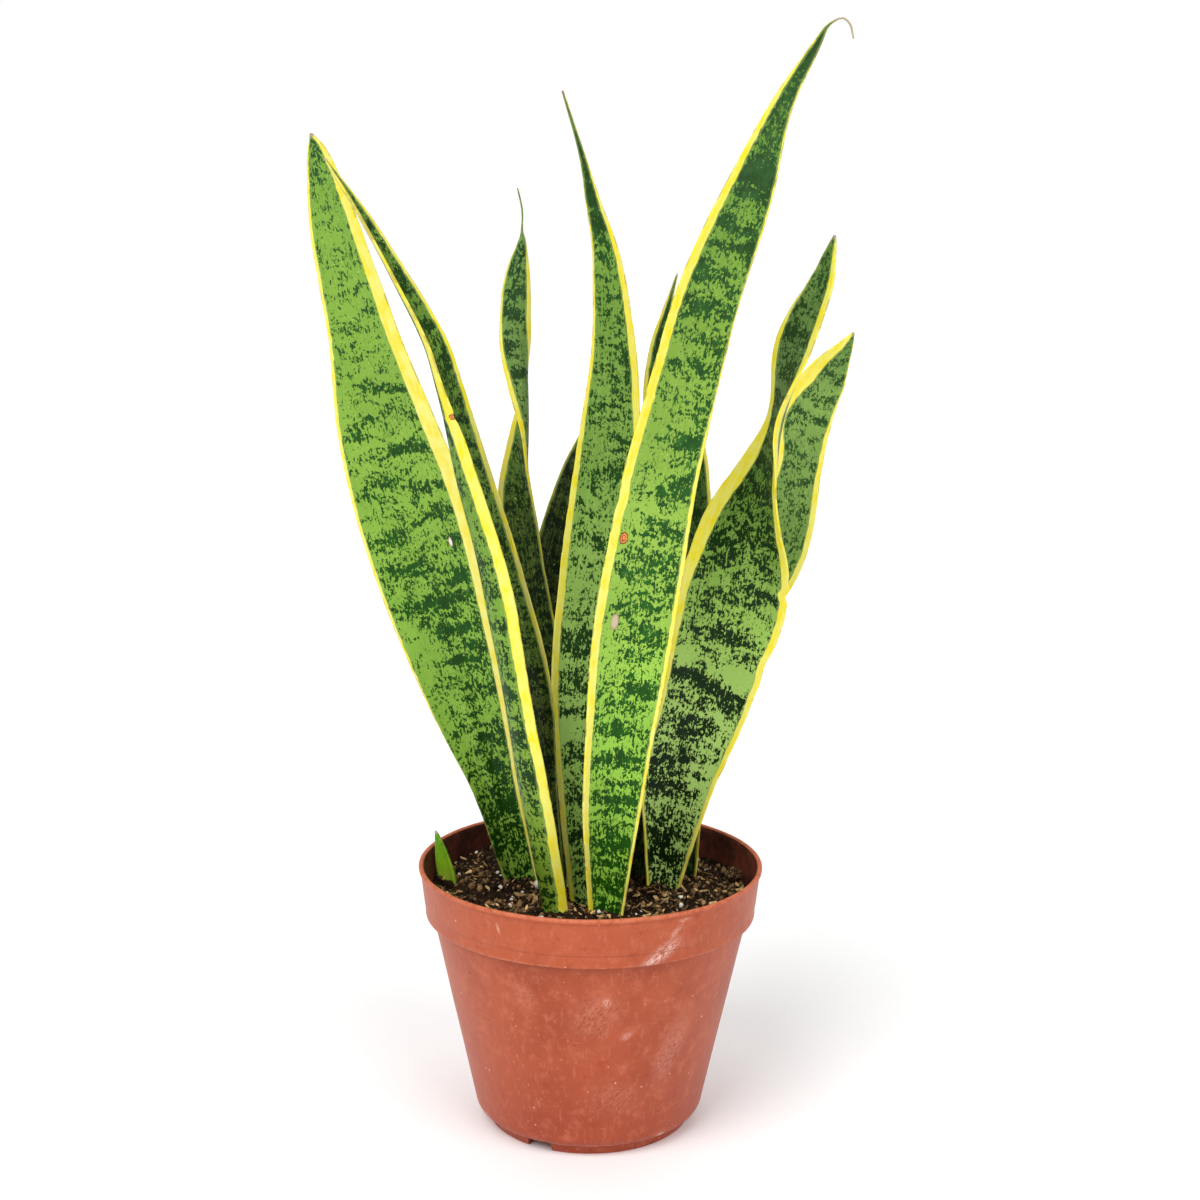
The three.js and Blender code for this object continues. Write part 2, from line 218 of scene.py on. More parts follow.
def object_mm(graph):
    """The point's place in the part's frame, in mm."""
    where = graph.node("ShaderNodeTexCoord").outputs["Object"]
    scaled = graph.node("ShaderNodeVectorMath", {0: where, "Scale": 1000.0}, operation="SCALE")
    return scaled.outputs[0]


def add_mesh(name, vertices, faces, smooth=True):
    """A new object from points in mm."""
    mesh = bpy.data.meshes.new(name)
    mesh.from_pydata((np.asarray(vertices) * MM).tolist(), [], faces)
    mesh.update()
    made = bpy.data.objects.new(name, mesh)
    scene.collection.objects.link(made)
    if smooth:
        mesh.shade_smooth()
    return made


def face_out(made):
    """Turns a closed mesh's faces to look outwards."""
    fix = bmesh.new()
    fix.from_mesh(made.data)
    if fix.calc_volume(signed=True) < 0:
        bmesh.ops.reverse_faces(fix, faces=fix.faces)
    fix.to_mesh(made.data)
    fix.free()


def set_vectors(made, name, values):
    layer = made.data.attributes.new(name, "FLOAT_VECTOR", "POINT")
    layer.data.foreach_set("vector", np.asarray(values, np.float32).ravel())


def set_colors(made, name, values):
    layer = made.data.attributes.new(name, "FLOAT_COLOR", "POINT")
    layer.data.foreach_set("color", np.asarray(values, np.float32).ravel())


# ------------------------------------------------------------------------------- leaves
#
# Each leaf's tables. Heights are z in mm. Left and right are the leaf's own, as seen from the front
# before it twists, and "place" is across it, from -1 at its left margin to 1 at its right.
# stations: the CAD leaf's z, x, y, width, turn and fold.
# yellow: the widths of the yellow margins: z, left, right. Below 0 there is none.
# tints: the light green, the dark green and the margin's yellow: z, light, dark, yellow.
# shade: how readily the dark green shows: z, at the left, in the middle, at the right.
# inner: painted shade on the leaf's inner face, where its neighbours shade it, as the share of its colour
# that it keeps: z, share.
# bands: dark marks across the leaf, or pale ones where strength is below 0: z, half height, place
#     it starts, place it ends, strength, rise of the right end over the middle.
# ridges: grooves that run up the leaf: z at the foot, z at the top, place there, place here, depth,
#     half width.
# bites: nicks in a margin: side (-1 or 1), z, depth, half height.
# marks: blemishes: kind, z, place, half width, half height.
# wave: how far the margins wander. dry: how much of the tip has dried out. seed: for the noise.

PALE_YELLOW = (243, 236, 104)
YELLOW = (232, 224, 52)
OLD_YELLOW = (214, 202, 60)

LEAVES = {
    "leaf_left_broad": {
        "stations": [(86, -26, 12, 12, 10, 120), (104, -30, 12, 16, 5, 110), (150, -42, 10, 23, 0, 90),
            (190, -54, 8, 38, -5, 60), (230, -66, 5, 47, -8, 45), (270, -77, 2, 51, -10, 35),
            (310, -88.6, -1, 44.6, -12, 35), (350, -97.6, -5, 31.5, -15, 35),
            (390, -107, -10, 24, -20, 35), (420, -113, -14, 12, -25, 35), (431, -116, -15, 1, -25, 20)],
        "yellow": [(86, -0.5, 3), (160, -0.4, 5.6), (182, 0.3, 7), (200, 0.8, 7.5), (260, 1.4, 8),
            (330, 1.5, 6.8), (390, 1.3, 5.2), (420, 0.9, 3), (431, 0.3, 0.5)],
        "tints": [(110, (134, 176, 66), (18, 60, 4), (226, 216, 100)),
            (200, (134, 182, 66), (28, 82, 10), (247, 236, 120)),
            (310, (134, 178, 66), (36, 88, 26), PALE_YELLOW),
            (430, (118, 164, 60), (52, 96, 44), YELLOW)],
        "shade": [(86, 0.14, 0.15, 0.12), (125, 0.11, 0.13, 0.09), (165, 0, 0.06, 0.01),
            (190, -0.04, 0.05, -0.01), (260, -0.03, 0.05, -0.02), (330, -0.03, -0.01, -0.04),
            (400, -0.02, -0.03, -0.05), (430, 0.1, 0.1, 0.1)],
        "bands": [(384, 2.5, -0.3, 0.9, 0.13, -3), (368, 1.3, -0.2, 0.9, 0.1, 3),
            (349, 1.6, 0.2, 0.9, 0.1, -4), (345, 2.2, -0.9, -0.2, 0.1, 3),
            (327, 2.2, -0.5, 0.9, 0.15, -5), (316, 2, -0.9, 0, 0.12, 5), (300, 2.4, -0.2, 0.95, 0.15, -4),
            (288, 2.2, -0.8, -0.1, 0.13, 4), (283, 2.4, 0, 0.95, 0.15, -2), (270, 3, 0.3, 0.95, 0.15, 0),
            (266, 4.4, -0.9, -0.3, 0.15, 5), (257, 3.8, 0.4, 0.95, 0.17, 3),
            (249, 3.4, -0.95, 0, 0.15, 0), (241, 3, 0.3, 0.95, 0.15, 3), (232, 4.4, -0.95, 0.95, 0.16, 0),
            (219, 3.6, -0.3, 0.95, 0.14, 2), (206, 5, -0.2, 0.95, 0.15, 0),
            (190, 3.8, -0.1, 0.95, 0.15, 2), (170, 4.6, -0.2, 0.95, 0.13, 0),
            (156, 4.6, -0.2, 0.95, 0.15, 0), (139, 3.6, -0.3, 0.95, 0.15, 0)],
        "ridges": [(100, 240, -0.28, -0.12, 0.9, 0.12)],
        "marks": [("scar", 257, 0.46, 0.8, 2.3)],
        "seed": 3,
    },
    "leaf_left_folded": {
        "stations": [(86, -9, -20, 10, 95, 190), (104, -10, -21, 11, 95, 190),
            (150, -15, -26, 16, 84, 200), (201, -21, -31, 20, 68, 205), (251, -31, -35, 20, 78, 195),
            (301, -46, -39, 18, 76, 165), (331, -56, -42, 16.5, 68, 110), (351, -63, -44, 14, 62, 95),
            (375, -76.2, -46, 9.5, 58, 85), (400, -91, -49, 5.2, 54, 70), (420, -105, -51, 1, 50, 20)],
        "yellow": [(86, 2.6, 0), (185, 3.6, 0), (215, 3.8, 1.6), (240, 4, 2), (310, 4, 1.8),
            (345, 2.8, 1.5), (362, 1.3, 1.3), (400, 0.9, 1), (420, 0.4, 0.4)],
        "tints": [(110, (120, 150, 44), (20, 58, 8), (226, 221, 38)),
            (220, (118, 160, 54), (28, 68, 14), (234, 229, 74)),
            (330, (98, 138, 50), (34, 66, 20), (226, 219, 38)),
            (420, (86, 124, 46), (36, 70, 22), OLD_YELLOW)],
        "shade": [(86, 0.04, 0.06, 0.04), (200, 0.02, 0.04, 0.03), (320, 0, 0.03, 0.05),
            (420, 0.05, 0.05, 0.05)],
        "bands": [(395, 3, -0.9, 0.9, 0.12, 0), (374, 4, -0.9, 0.9, 0.14, 2),
            (356, 3, -0.9, 0.9, 0.12, 0), (338, 4, -0.9, 0.9, 0.13, 3), (318, 4, -0.9, 0.9, 0.13, 0),
            (262, 4, -0.9, 0.9, 0.1, 0), (205, 4, -0.9, 0.9, 0.14, 0), (188, 3, -0.9, 0.9, 0.13, 0),
            (168, 4, -0.9, 0.9, 0.12, 0)],
        "bites": [(-1, 321, 1.1, 1.6)],
        "marks": [("scab", 321.5, -0.93, 1.6, 1.3)],
        # inner: painted shade on the inner face.
        "inner": [(86, 0.12), (190, 0.16), (225, 0.42), (310, 0.7), (350, 0.95)],
        "seed": 11,
    },
    "leaf_centre_slender": {
        "stations": [(86, -1, -17, 9, 0, 120), (104, -2, -18, 12, -5, 110), (150, -3, -13, 22, -10, 90),
            (200, -3, -7, 30, -15, 70), (249, 2, -3, 33, -15, 60), (299, 6, 1, 28, -15, 55),
            (340, 8, 3, 20, -15, 50), (380, 5, 5, 12, -10, 45), (405, -1, 6, 6, -5, 40),
            (425, -6, 6, 2.4, 0, 20), (450, -14, 5, 0.8, 0, 10)],
        "yellow": [(86, 1.6, 0.8), (150, 2.6, 1.4), (230, 3.2, 2.2), (290, 2.4, 3), (340, 1.2, 3.2),
            (385, 0.5, 2), (405, 0.2, 0.9), (420, 0.05, 0.2), (450, 0, 0)],
        # The light green near the foot is lightened: painted light against the shade that the tall leaf
        # casts there.
        "tints": [(110, (178, 220, 108), (24, 58, 10), (210, 206, 66)),
            (190, (172, 212, 110), (28, 62, 16), (230, 224, 84)),
            (290, (124, 164, 74), (32, 74, 20), (236, 228, 54)),
            (390, (106, 148, 56), (40, 82, 30), (234, 216, 44)),
            (450, (66, 98, 46), (36, 66, 26), OLD_YELLOW)],
        "shade": [(86, 0.08, 0.08, 0.08), (130, 0.03, 0.05, 0.04), (170, -0.04, 0.01, 0.02),
            (260, -0.02, 0.04, 0.05), (330, 0.01, 0.03, 0), (380, 0.06, 0, -0.02), (396, 0.1, 0.1, 0.1),
            (450, 0.4, 0.4, 0.4)],
        "bands": [(409, 4.5, -1, 1, 0.22, 0), (396, 4, -1, 1, 0.2, 0), (385, 1.6, 0, 1, 0.15, 0),
            (366, 1.8, 0.1, 1, 0.13, 0), (354, 3, -0.2, 1, 0.13, 0), (341, 5, 0.3, 1, 0.2, -2),
            (331, 3.5, -0.1, 1, 0.13, -2), (305, 4, 0.2, 1, 0.13, 0), (290, 3, -1, 1, 0.1, 0),
            (262, 4, -1, 0.5, 0.08, 0), (217, 5.5, -1, 1, 0.2, 2), (197, 2.2, -1, 1, 0.14, 0),
            (188, 2.4, -1, 1, 0.13, 0), (168, 4, -1, 1, 0.13, 0), (150, 4, -1, 1, 0.13, 0),
            (134, 4, -1, 1, 0.12, 0)],
        "ridges": [(230, 420, -0.42, -0.5, 0.5, 0.07), (230, 400, -0.15, -0.3, 0.45, 0.07),
            (150, 300, 0.12, 0.1, 0.7, 0.09)],
        "seed": 19,
    },
    "leaf_tall": {
        "stations": [(86, 6, -25, 10, 0, 130), (104, 7, -28, 14, 0, 120), (150, 9, -31, 24, 5, 90),
            (201, 14, -35, 31, 8, 60), (241, 19, -38, 34, 10, 45), (291, 27, -42, 31, 10, 40),
            (331, 36, -45, 28, 8, 40), (370, 46, -48, 25, 5, 40), (405, 59, -50, 20, 0, 40),
            (439, 71, -53, 9, -5, 35), (463, 84, -55, 3.4, -10, 30), (470, 88, -56, 1.4, -10, 10),
            (472.5, 91, -56, 0.9, -10, 10), (473.5, 94, -56, 0.8, -10, 10), (471, 97, -56, 0.8, -10, 10),
            (466, 98.5, -55, 0.6, -10, 10)],
        "yellow": [(86, 1.8, 0.6), (150, 2.9, 1.2), (240, 3.9, 1.7), (300, 3.9, 1.4), (330, 3.8, 0.5),
            (370, 3.6, 0.3), (410, 2.8, 0.6), (440, 1.6, 0.4), (460, 0.4, 0.1), (476, 0, 0)],
        "tints": [(110, (136, 188, 62), (26, 78, 6), (240, 226, 64)),
            (180, (148, 200, 72), (30, 88, 10), (241, 234, 90)),
            (260, (150, 190, 76), (38, 96, 30), (239, 233, 74)),
            (350, (122, 162, 60), (42, 90, 32), (231, 224, 42)),
            (420, (98, 144, 52), (50, 88, 44), YELLOW), (470, (60, 96, 44), (48, 82, 36), YELLOW)],
        "shade": [(86, 0.15, 0.15, 0.15), (112, 0.13, 0.14, 0.14), (135, 0.03, 0.06, 0.06),
            (150, -0.02, 0.02, 0.03), (215, -0.03, 0.03, 0.03), (260, -0.07, 0, 0.06),
            (320, -0.05, -0.02, 0.08), (370, -0.03, 0.02, 0.09), (400, 0, 0.03, 0.04),
            (428, 0.06, 0.07, 0.05), (470, 0.3, 0.3, 0.3)],
        "bands": [(415, 6.5, -1, 1, 0.28, 0), (396, 3, -1, 1, 0.14, 0), (388, 2.4, -0.8, 0.9, 0.12, 2),
            (378, 2, -0.8, 0.4, 0.12, 0), (373, 1.8, -0.9, 0, 0.13, -2), (364, 3.2, -0.9, 0.3, 0.15, -2),
            (351, 2.4, -0.6, 0.5, 0.1, 0), (340, 2, -0.6, 0.6, 0.1, 0), (309, 3.4, 0, 0.9, 0.16, 3),
            (297, 2.2, -0.9, -0.3, 0.11, 0), (288, 4, 0, 0.8, 0.13, 3), (273, 4.8, -0.2, 0.8, 0.13, 4),
            (257, 5, -0.7, 0.9, 0.14, 4), (245, 3, 0, 0.9, 0.13, 3), (239, 2.4, -0.7, 0.7, 0.14, 3),
            (226, 3.4, -0.5, 0.9, 0.12, 3), (219, 3, -0.2, 0.6, 0.11, 0), (205, 3.4, 0, 0.9, 0.13, 0),
            (196, 2.6, -0.8, 0.6, 0.09, 0), (186, 3.8, -0.9, 0.9, 0.12, -3), (172, 5, -0.9, 0.9, 0.14, 0),
            (154, 4.4, -0.9, 0.9, 0.14, 0), (137, 6, -0.9, 0.9, 0.1, 0)],
        "ridges": [(230, 430, 0.42, 0.3, 0.5, 0.1)],
        "dry": 14,
        "bites": [(-1, 325, 0.7, 1.5), (-1, 284, 0.7, 3.5)],
        "marks": [("scab", 268, -0.62, 1.9, 2.6), ("spot", 232.5, -0.46, 1.8, 3.6)],
        "seed": 27,
    },
    "leaf_right_twisted": {
        "stations": [(86, 31, 5, 11, 0, 130), (104, 33, 4, 14, 0, 120), (150, 38, 1, 30, -5, 80),
            (201, 52, -4, 40, -8, 45), (241, 60, -10, 47, -12, 35), (271, 63, -13, 39, -35, 40),
            (296, 69, -17, 26, -60, 50), (319, 74, -20, 21, -85, 55), (346, 81, -21, 21, -50, 45),
            (370, 91, -24, 13, -40, 40), (384, 95, -25, 6, -35, 30), (392, 97, -26, 1, -30, 20)],
        "yellow": [(86, 0.8, 1), (150, 1, 1.8), (205, 1.8, 2.6), (240, 4.6, 3.4), (270, 6.6, 3.4),
            (300, 6.8, 3.2), (319, 3, 2.8), (346, 2.4, 3.2), (358, 1.2, 3.2), (370, 0.3, 3),
            (385, 0.2, 1.4), (392, 0.1, 0.2)],
        "tints": [(110, (182, 216, 122), (6, 26, 0), (224, 216, 72)),
            (180, (176, 212, 114), (8, 34, 2), (232, 224, 82)),
            (230, (148, 188, 84), (12, 46, 4), (230, 222, 60)),
            (290, (84, 124, 44), (12, 44, 0), (228, 219, 38)),
            (330, (96, 126, 72), (44, 72, 28), (228, 221, 44)),
            (392, (76, 118, 48), (40, 78, 30), YELLOW)],
        "shade": [(86, 0.16, 0.16, 0.14), (118, 0.15, 0.14, 0.09), (145, 0.11, 0.08, 0),
            (180, 0.08, 0.05, -0.03), (215, 0.02, 0.05, -0.01), (250, 0.07, 0.08, 0),
            (285, 0.14, 0.12, 0.09), (330, 0.03, 0.03, 0.03), (392, 0.06, 0.06, 0.06)],
        "bands": [(268, 1.6, 0.2, 0.9, 0.15, -6), (256, 1.6, 0.2, 0.9, 0.14, -7),
            (247, 1.6, 0.1, 0.9, 0.15, -7), (238, 1.8, 0.2, 0.9, 0.15, -7),
            (221, 2.6, -0.9, 0.6, 0.12, 0), (215, 3, 0.1, 0.95, 0.12, -4),
            (197, 4.6, -0.95, 0.95, 0.22, -4), (178, 4, -0.5, 0.3, 0.12, 6), (163, 4, -0.9, 0.2, 0.12, 3),
            (150, 4, -0.9, 0.3, 0.12, 0), (208, 7, -0.85, -0.4, -0.2, 0), (206, 6.5, 0, 0.75, -0.2, -2),
            (352, 2, -0.9, 0.9, 0.1, 0), (338, 2, -0.9, 0.9, 0.1, 0)],
        "ridges": [(200, 300, 0, 0.1, 0.6, 0.08)],
        "bites": [(1, 244, 1.6, 1.6), (1, 214, 0.7, 5)],
        "wave": 0.5,
        "seed": 35,
    },
    "leaf_right_back": {
        "stations": [(86, 38, 22, 10, 0, 130), (104, 41, 23, 14, 0, 120), (149, 42, 28, 20, 0, 90),
            (199, 54, 36, 22, 5, 60), (248, 83, 44, 27, 10, 45), (288, 93, 49, 22, 12, 40),
            (310, 95, 51, 26, 10, 40), (329, 105, 54, 19, 10, 40), (342, 113, 55, 8, 15, 30),
            (349, 117, 56, 1, 20, 20)],
        "yellow": [(86, 0.8, 0.8), (200, 1.2, 2.2), (280, 2, 2.6), (305, 4.6, 1.6), (325, 7, 0.6),
            (342, 3.4, 0.3), (349, 0.4, 0.1)],
        # The tints darken towards the foot: painted shade, where the leaves in front shade it.
        "tints": [(110, (60, 96, 36), (24, 50, 14), (190, 186, 60)),
            (240, (108, 144, 68), (52, 84, 34), (228, 220, 84)),
            (320, (124, 160, 80), (54, 90, 40), (250, 232, 66)),
            (349, (86, 130, 60), (44, 80, 40), YELLOW)],
        "shade": [(86, 0.08, 0.08, 0.08), (250, 0, 0, 0), (320, -0.02, -0.03, 0), (349, 0.1, 0.1, 0.1)],
        "bands": [(330, 1.6, -0.6, 0.9, 0.1, 2), (321, 1.8, -0.9, 0.9, 0.11, 2),
            (312, 1.8, -0.9, 0.9, 0.1, 0), (300, 2.2, -0.9, 0.9, 0.12, 3), (290, 2, -0.9, 0.9, 0.12, 0),
            (281, 2.2, -0.9, 0.9, 0.12, 3), (270, 2.4, -0.9, 0.9, 0.12, 0), (256, 3, -0.9, 0.9, 0.12, 0)],
        "seed": 43,
    },
    "leaf_back_twisted": {
        "stations": [(86, -13, 1, 10, 30, 120), (104, -15, 1, 12, 30, 110), (150, -19, 9, 19, 25, 80),
            (199, -24, 19, 22, 20, 60), (249, -31, 24, 18, 15, 50), (279, -35, 25, 16, -20, 45),
            (304, -35, 28, 12, -60, 100), (324, -35, 29, 12, -115, 100), (349, -35, 31, 14, -165, 40),
            (372, -34, 33, 11, -180, 35), (387, -32, 34, 4, -180, 20), (393, -32, 35, 1, -180, 10),
            (402, -32, 35, 0.8, -180, 10), (411, -34, 36, 0.6, -180, 10)],
        "yellow": [(86, 1, 0.4), (200, 1.6, 0.5), (280, 2.4, 0.7), (320, 2.8, 1.8), (350, 2.8, 1.2),
            (375, 1.6, 0.8), (388, 0.3, 0.2), (393, 0, 0), (411, 0, 0)],
        # Painted shade: the inner table darkens the inner face, and the tints, the margin's yellow too,
        # darken towards the foot, where the front leaves shade it.
        "inner": [(86, 0.2), (240, 0.3), (285, 0.5), (310, 1)],
        "tints": [(110, (70, 104, 36), (20, 44, 12), (200, 186, 40)),
            (240, (80, 116, 42), (24, 54, 14), (214, 200, 40)),
            (285, (88, 124, 50), (30, 58, 18), (220, 206, 44)),
            (320, (104, 138, 70), (42, 70, 30), (228, 216, 48)),
            (393, (92, 132, 62), (44, 78, 42), (206, 206, 70))],
        "shade": [(86, 0.1, 0.1, 0.1), (260, 0.08, 0.08, 0.08), (300, 0.02, 0.02, 0.02),
            (340, -0.02, 0, 0.02), (380, 0.03, 0.03, 0.03), (411, 0.1, 0.1, 0.1)],
        "bands": [(375, 3, -0.9, 0.9, 0.12, 0), (366, 1.8, -0.9, 0.9, 0.12, 0),
            (357, 2.4, -0.3, 0.95, 0.15, 0), (343, 4.5, -0.2, 0.95, 0.15, 0),
            (332, 2.4, -0.3, 0.95, 0.12, 0)],
        "seed": 51,
    },
    "leaf_back_dark": {
        "stations": [(86, -17, 22, 11, 0, 120), (104, -19, 24, 15, 0, 110), (149, -23, 30, 28, 0, 80),
            (199, -20, 36, 34, 5, 60), (248, -11, 42, 31, 5, 50), (283, -2, 47, 26, 5, 45),
            (309, 7, 49, 16, 5, 40), (327, 14, 51, 5, 5, 30), (335, 17, 52, 1, 5, 20)],
        "yellow": [(86, 0.4, 0.4), (200, 0.5, 0.5), (280, 0.5, 0.5), (320, 0.4, 0.4), (335, 0.1, 0.1)],
        # Painted shade: the inner table and the tints, the margin's yellow too, make this leaf dark where it
        # stands in shade behind the front leaves.
        "inner": [(86, 0.12), (240, 0.16), (335, 0.4)],
        "tints": [(110, (60, 94, 34), (18, 42, 12), (120, 128, 44)),
            (220, (68, 108, 44), (20, 50, 16), (126, 134, 46)),
            (335, (74, 112, 50), (26, 56, 20), (140, 146, 54))],
        "shade": [(86, 0.08, 0.08, 0.08), (240, 0.05, 0.06, 0.05), (335, 0.05, 0.05, 0.05)],
        "bands": [(300, 4, -0.9, 0.9, 0.1, 2), (280, 4, -0.9, 0.9, 0.1, 0), (262, 4, -0.9, 0.9, 0.1, 3)],
        "seed": 59,
    },
    "leaf_back_narrow": {
        "stations": [(86, 18, 14, 9, 0, 120), (104, 21, 15, 12, 0, 110), (150, 28, 18, 18, -5, 80),
            (199, 35, 22, 24, -10, 60), (249, 38, 27, 27, -10, 50), (289, 38, 30, 26, -10, 45),
            (319, 32, 32, 21, -10, 40), (341, 30.5, 34, 13.5, -10, 40), (357, 31.5, 35, 5, -10, 35),
            (366, 33.5, 36, 2.2, -10, 20), (375, 36, 36, 0.8, -10, 10)],
        "yellow": [(86, 0.8, 0.8), (250, 1.3, 1.3), (320, 1.8, 1.2), (350, 1.2, 0.4), (375, 0.1, 0.1)],
        # inner: painted shade on the inner face.
        "inner": [(86, 0.25), (240, 0.5), (320, 0.9)],
        "tints": [(110, (66, 100, 36), (22, 48, 14), (200, 190, 50)),
            (240, (72, 112, 46), (28, 60, 26), (214, 204, 50)),
            (340, (66, 104, 48), (36, 68, 32), (222, 210, 50)),
            (375, (74, 110, 54), (46, 78, 42), (222, 210, 60))],
        "shade": [(86, 0.08, 0.08, 0.08), (250, 0.05, 0.05, 0.05), (340, 0.06, 0.08, 0.08),
            (375, 0.3, 0.3, 0.3)],
        "bands": [(330, 4, -0.9, 0.9, 0.1, 0), (300, 4, -0.9, 0.9, 0.12, 0),
            (272, 5, -0.9, 0.9, 0.12, 0)],
        "seed": 67,
    },
    "pup_leaf": {
        "stations": [(86, -55, 12, 6, -28, 90), (98, -63, 12, 6.5, -26, 90), (108, -66, 12, 8, -25, 70),
            (118, -68, 12, 5.5, -25, 50), (127, -70, 12, 1, -25, 30)],
        "yellow": [(86, -1, -1), (126, -1, -1)],
        "tints": [(98, (160, 190, 60), (134, 168, 40), YELLOW),
            (112, (138, 190, 30), (116, 170, 22), YELLOW), (126, (88, 164, 34), (68, 134, 26), YELLOW)],
        "shade": [(86, -0.2, -0.2, -0.2), (126, -0.1, -0.1, -0.1)],
        "seed": 75,
    },
}

LEAF_STEP = 1.5  # from ring to ring up a leaf
COLUMNS = 41  # points across each face
ROUND_POINTS = 3  # round each margin
LEAF_EDGE = 1.0
LEAF_FOOT_THICKNESS = 5.2
LEAF_TOP_THICKNESS = 1.6
DRY_TIP = 1.5  # a leaf's "dry", where its table has none
EDGE_WAVE = 0.22  # and its "wave"
THINNEST = 0.4  # the width at a leaf's very tip
FLATTEST = 4  # degrees of fold
SWELL = 0.55  # how far a wide leaf's face rises and falls
SWELL_SIZE = (9, 34)  # across and along
LEAF_RELIEF = 0.16
LEAF_GLOSS = 0.16
LEAF_ROUGHNESS = 0.30  # before the noise adds to it


def fine_stations(stations, step):
    """Rings on the curve through the stations, and how far up the leaf each one is, from 0 to 1."""
    rows = np.array(stations, float)
    padded = np.vstack([2 * rows[0] - rows[1], rows, 2 * rows[-1] - rows[-2]])
    spans = len(rows) - 1
    rings = []
    rises = []
    for i in range(spans):
        p0, p1, p2, p3 = padded[i:i + 4]
        count = max(3, round(float(np.linalg.norm(p2[:3] - p1[:3])) / step))
        t = (np.arange(count) / count)[:, None]
        bend = (2 * p0 - 5 * p1 + 4 * p2 - p3) * t ** 2 + (3 * p1 - p0 - 3 * p2 + p3) * t ** 3
        rings.append(0.5 * (2 * p1 + (p2 - p0) * t + bend))
        rises.append((i + t[:, 0]) / spans)
    rings.append(rows[-1:])
    rises.append(np.ones(1))
    return np.vstack(rings), np.concatenate(rises)


def table_at(rows, z):
    """The columns of a table of (z, value, ...) rows at the heights z."""
    table = np.array(rows, float)
    return np.stack([np.interp(z, table[:, 0], table[:, k]) for k in range(1, table.shape[1])], -1)


def wander(values, seed):
    """Smooth noise along a line, from about -1 to 1."""
    return np.array([lumps.noise(Vector((v, seed * 7.3, 0.5))) for v in values])


def bump_at(values, centre, half):
    return np.exp(-(((values - centre) / half) ** 2))


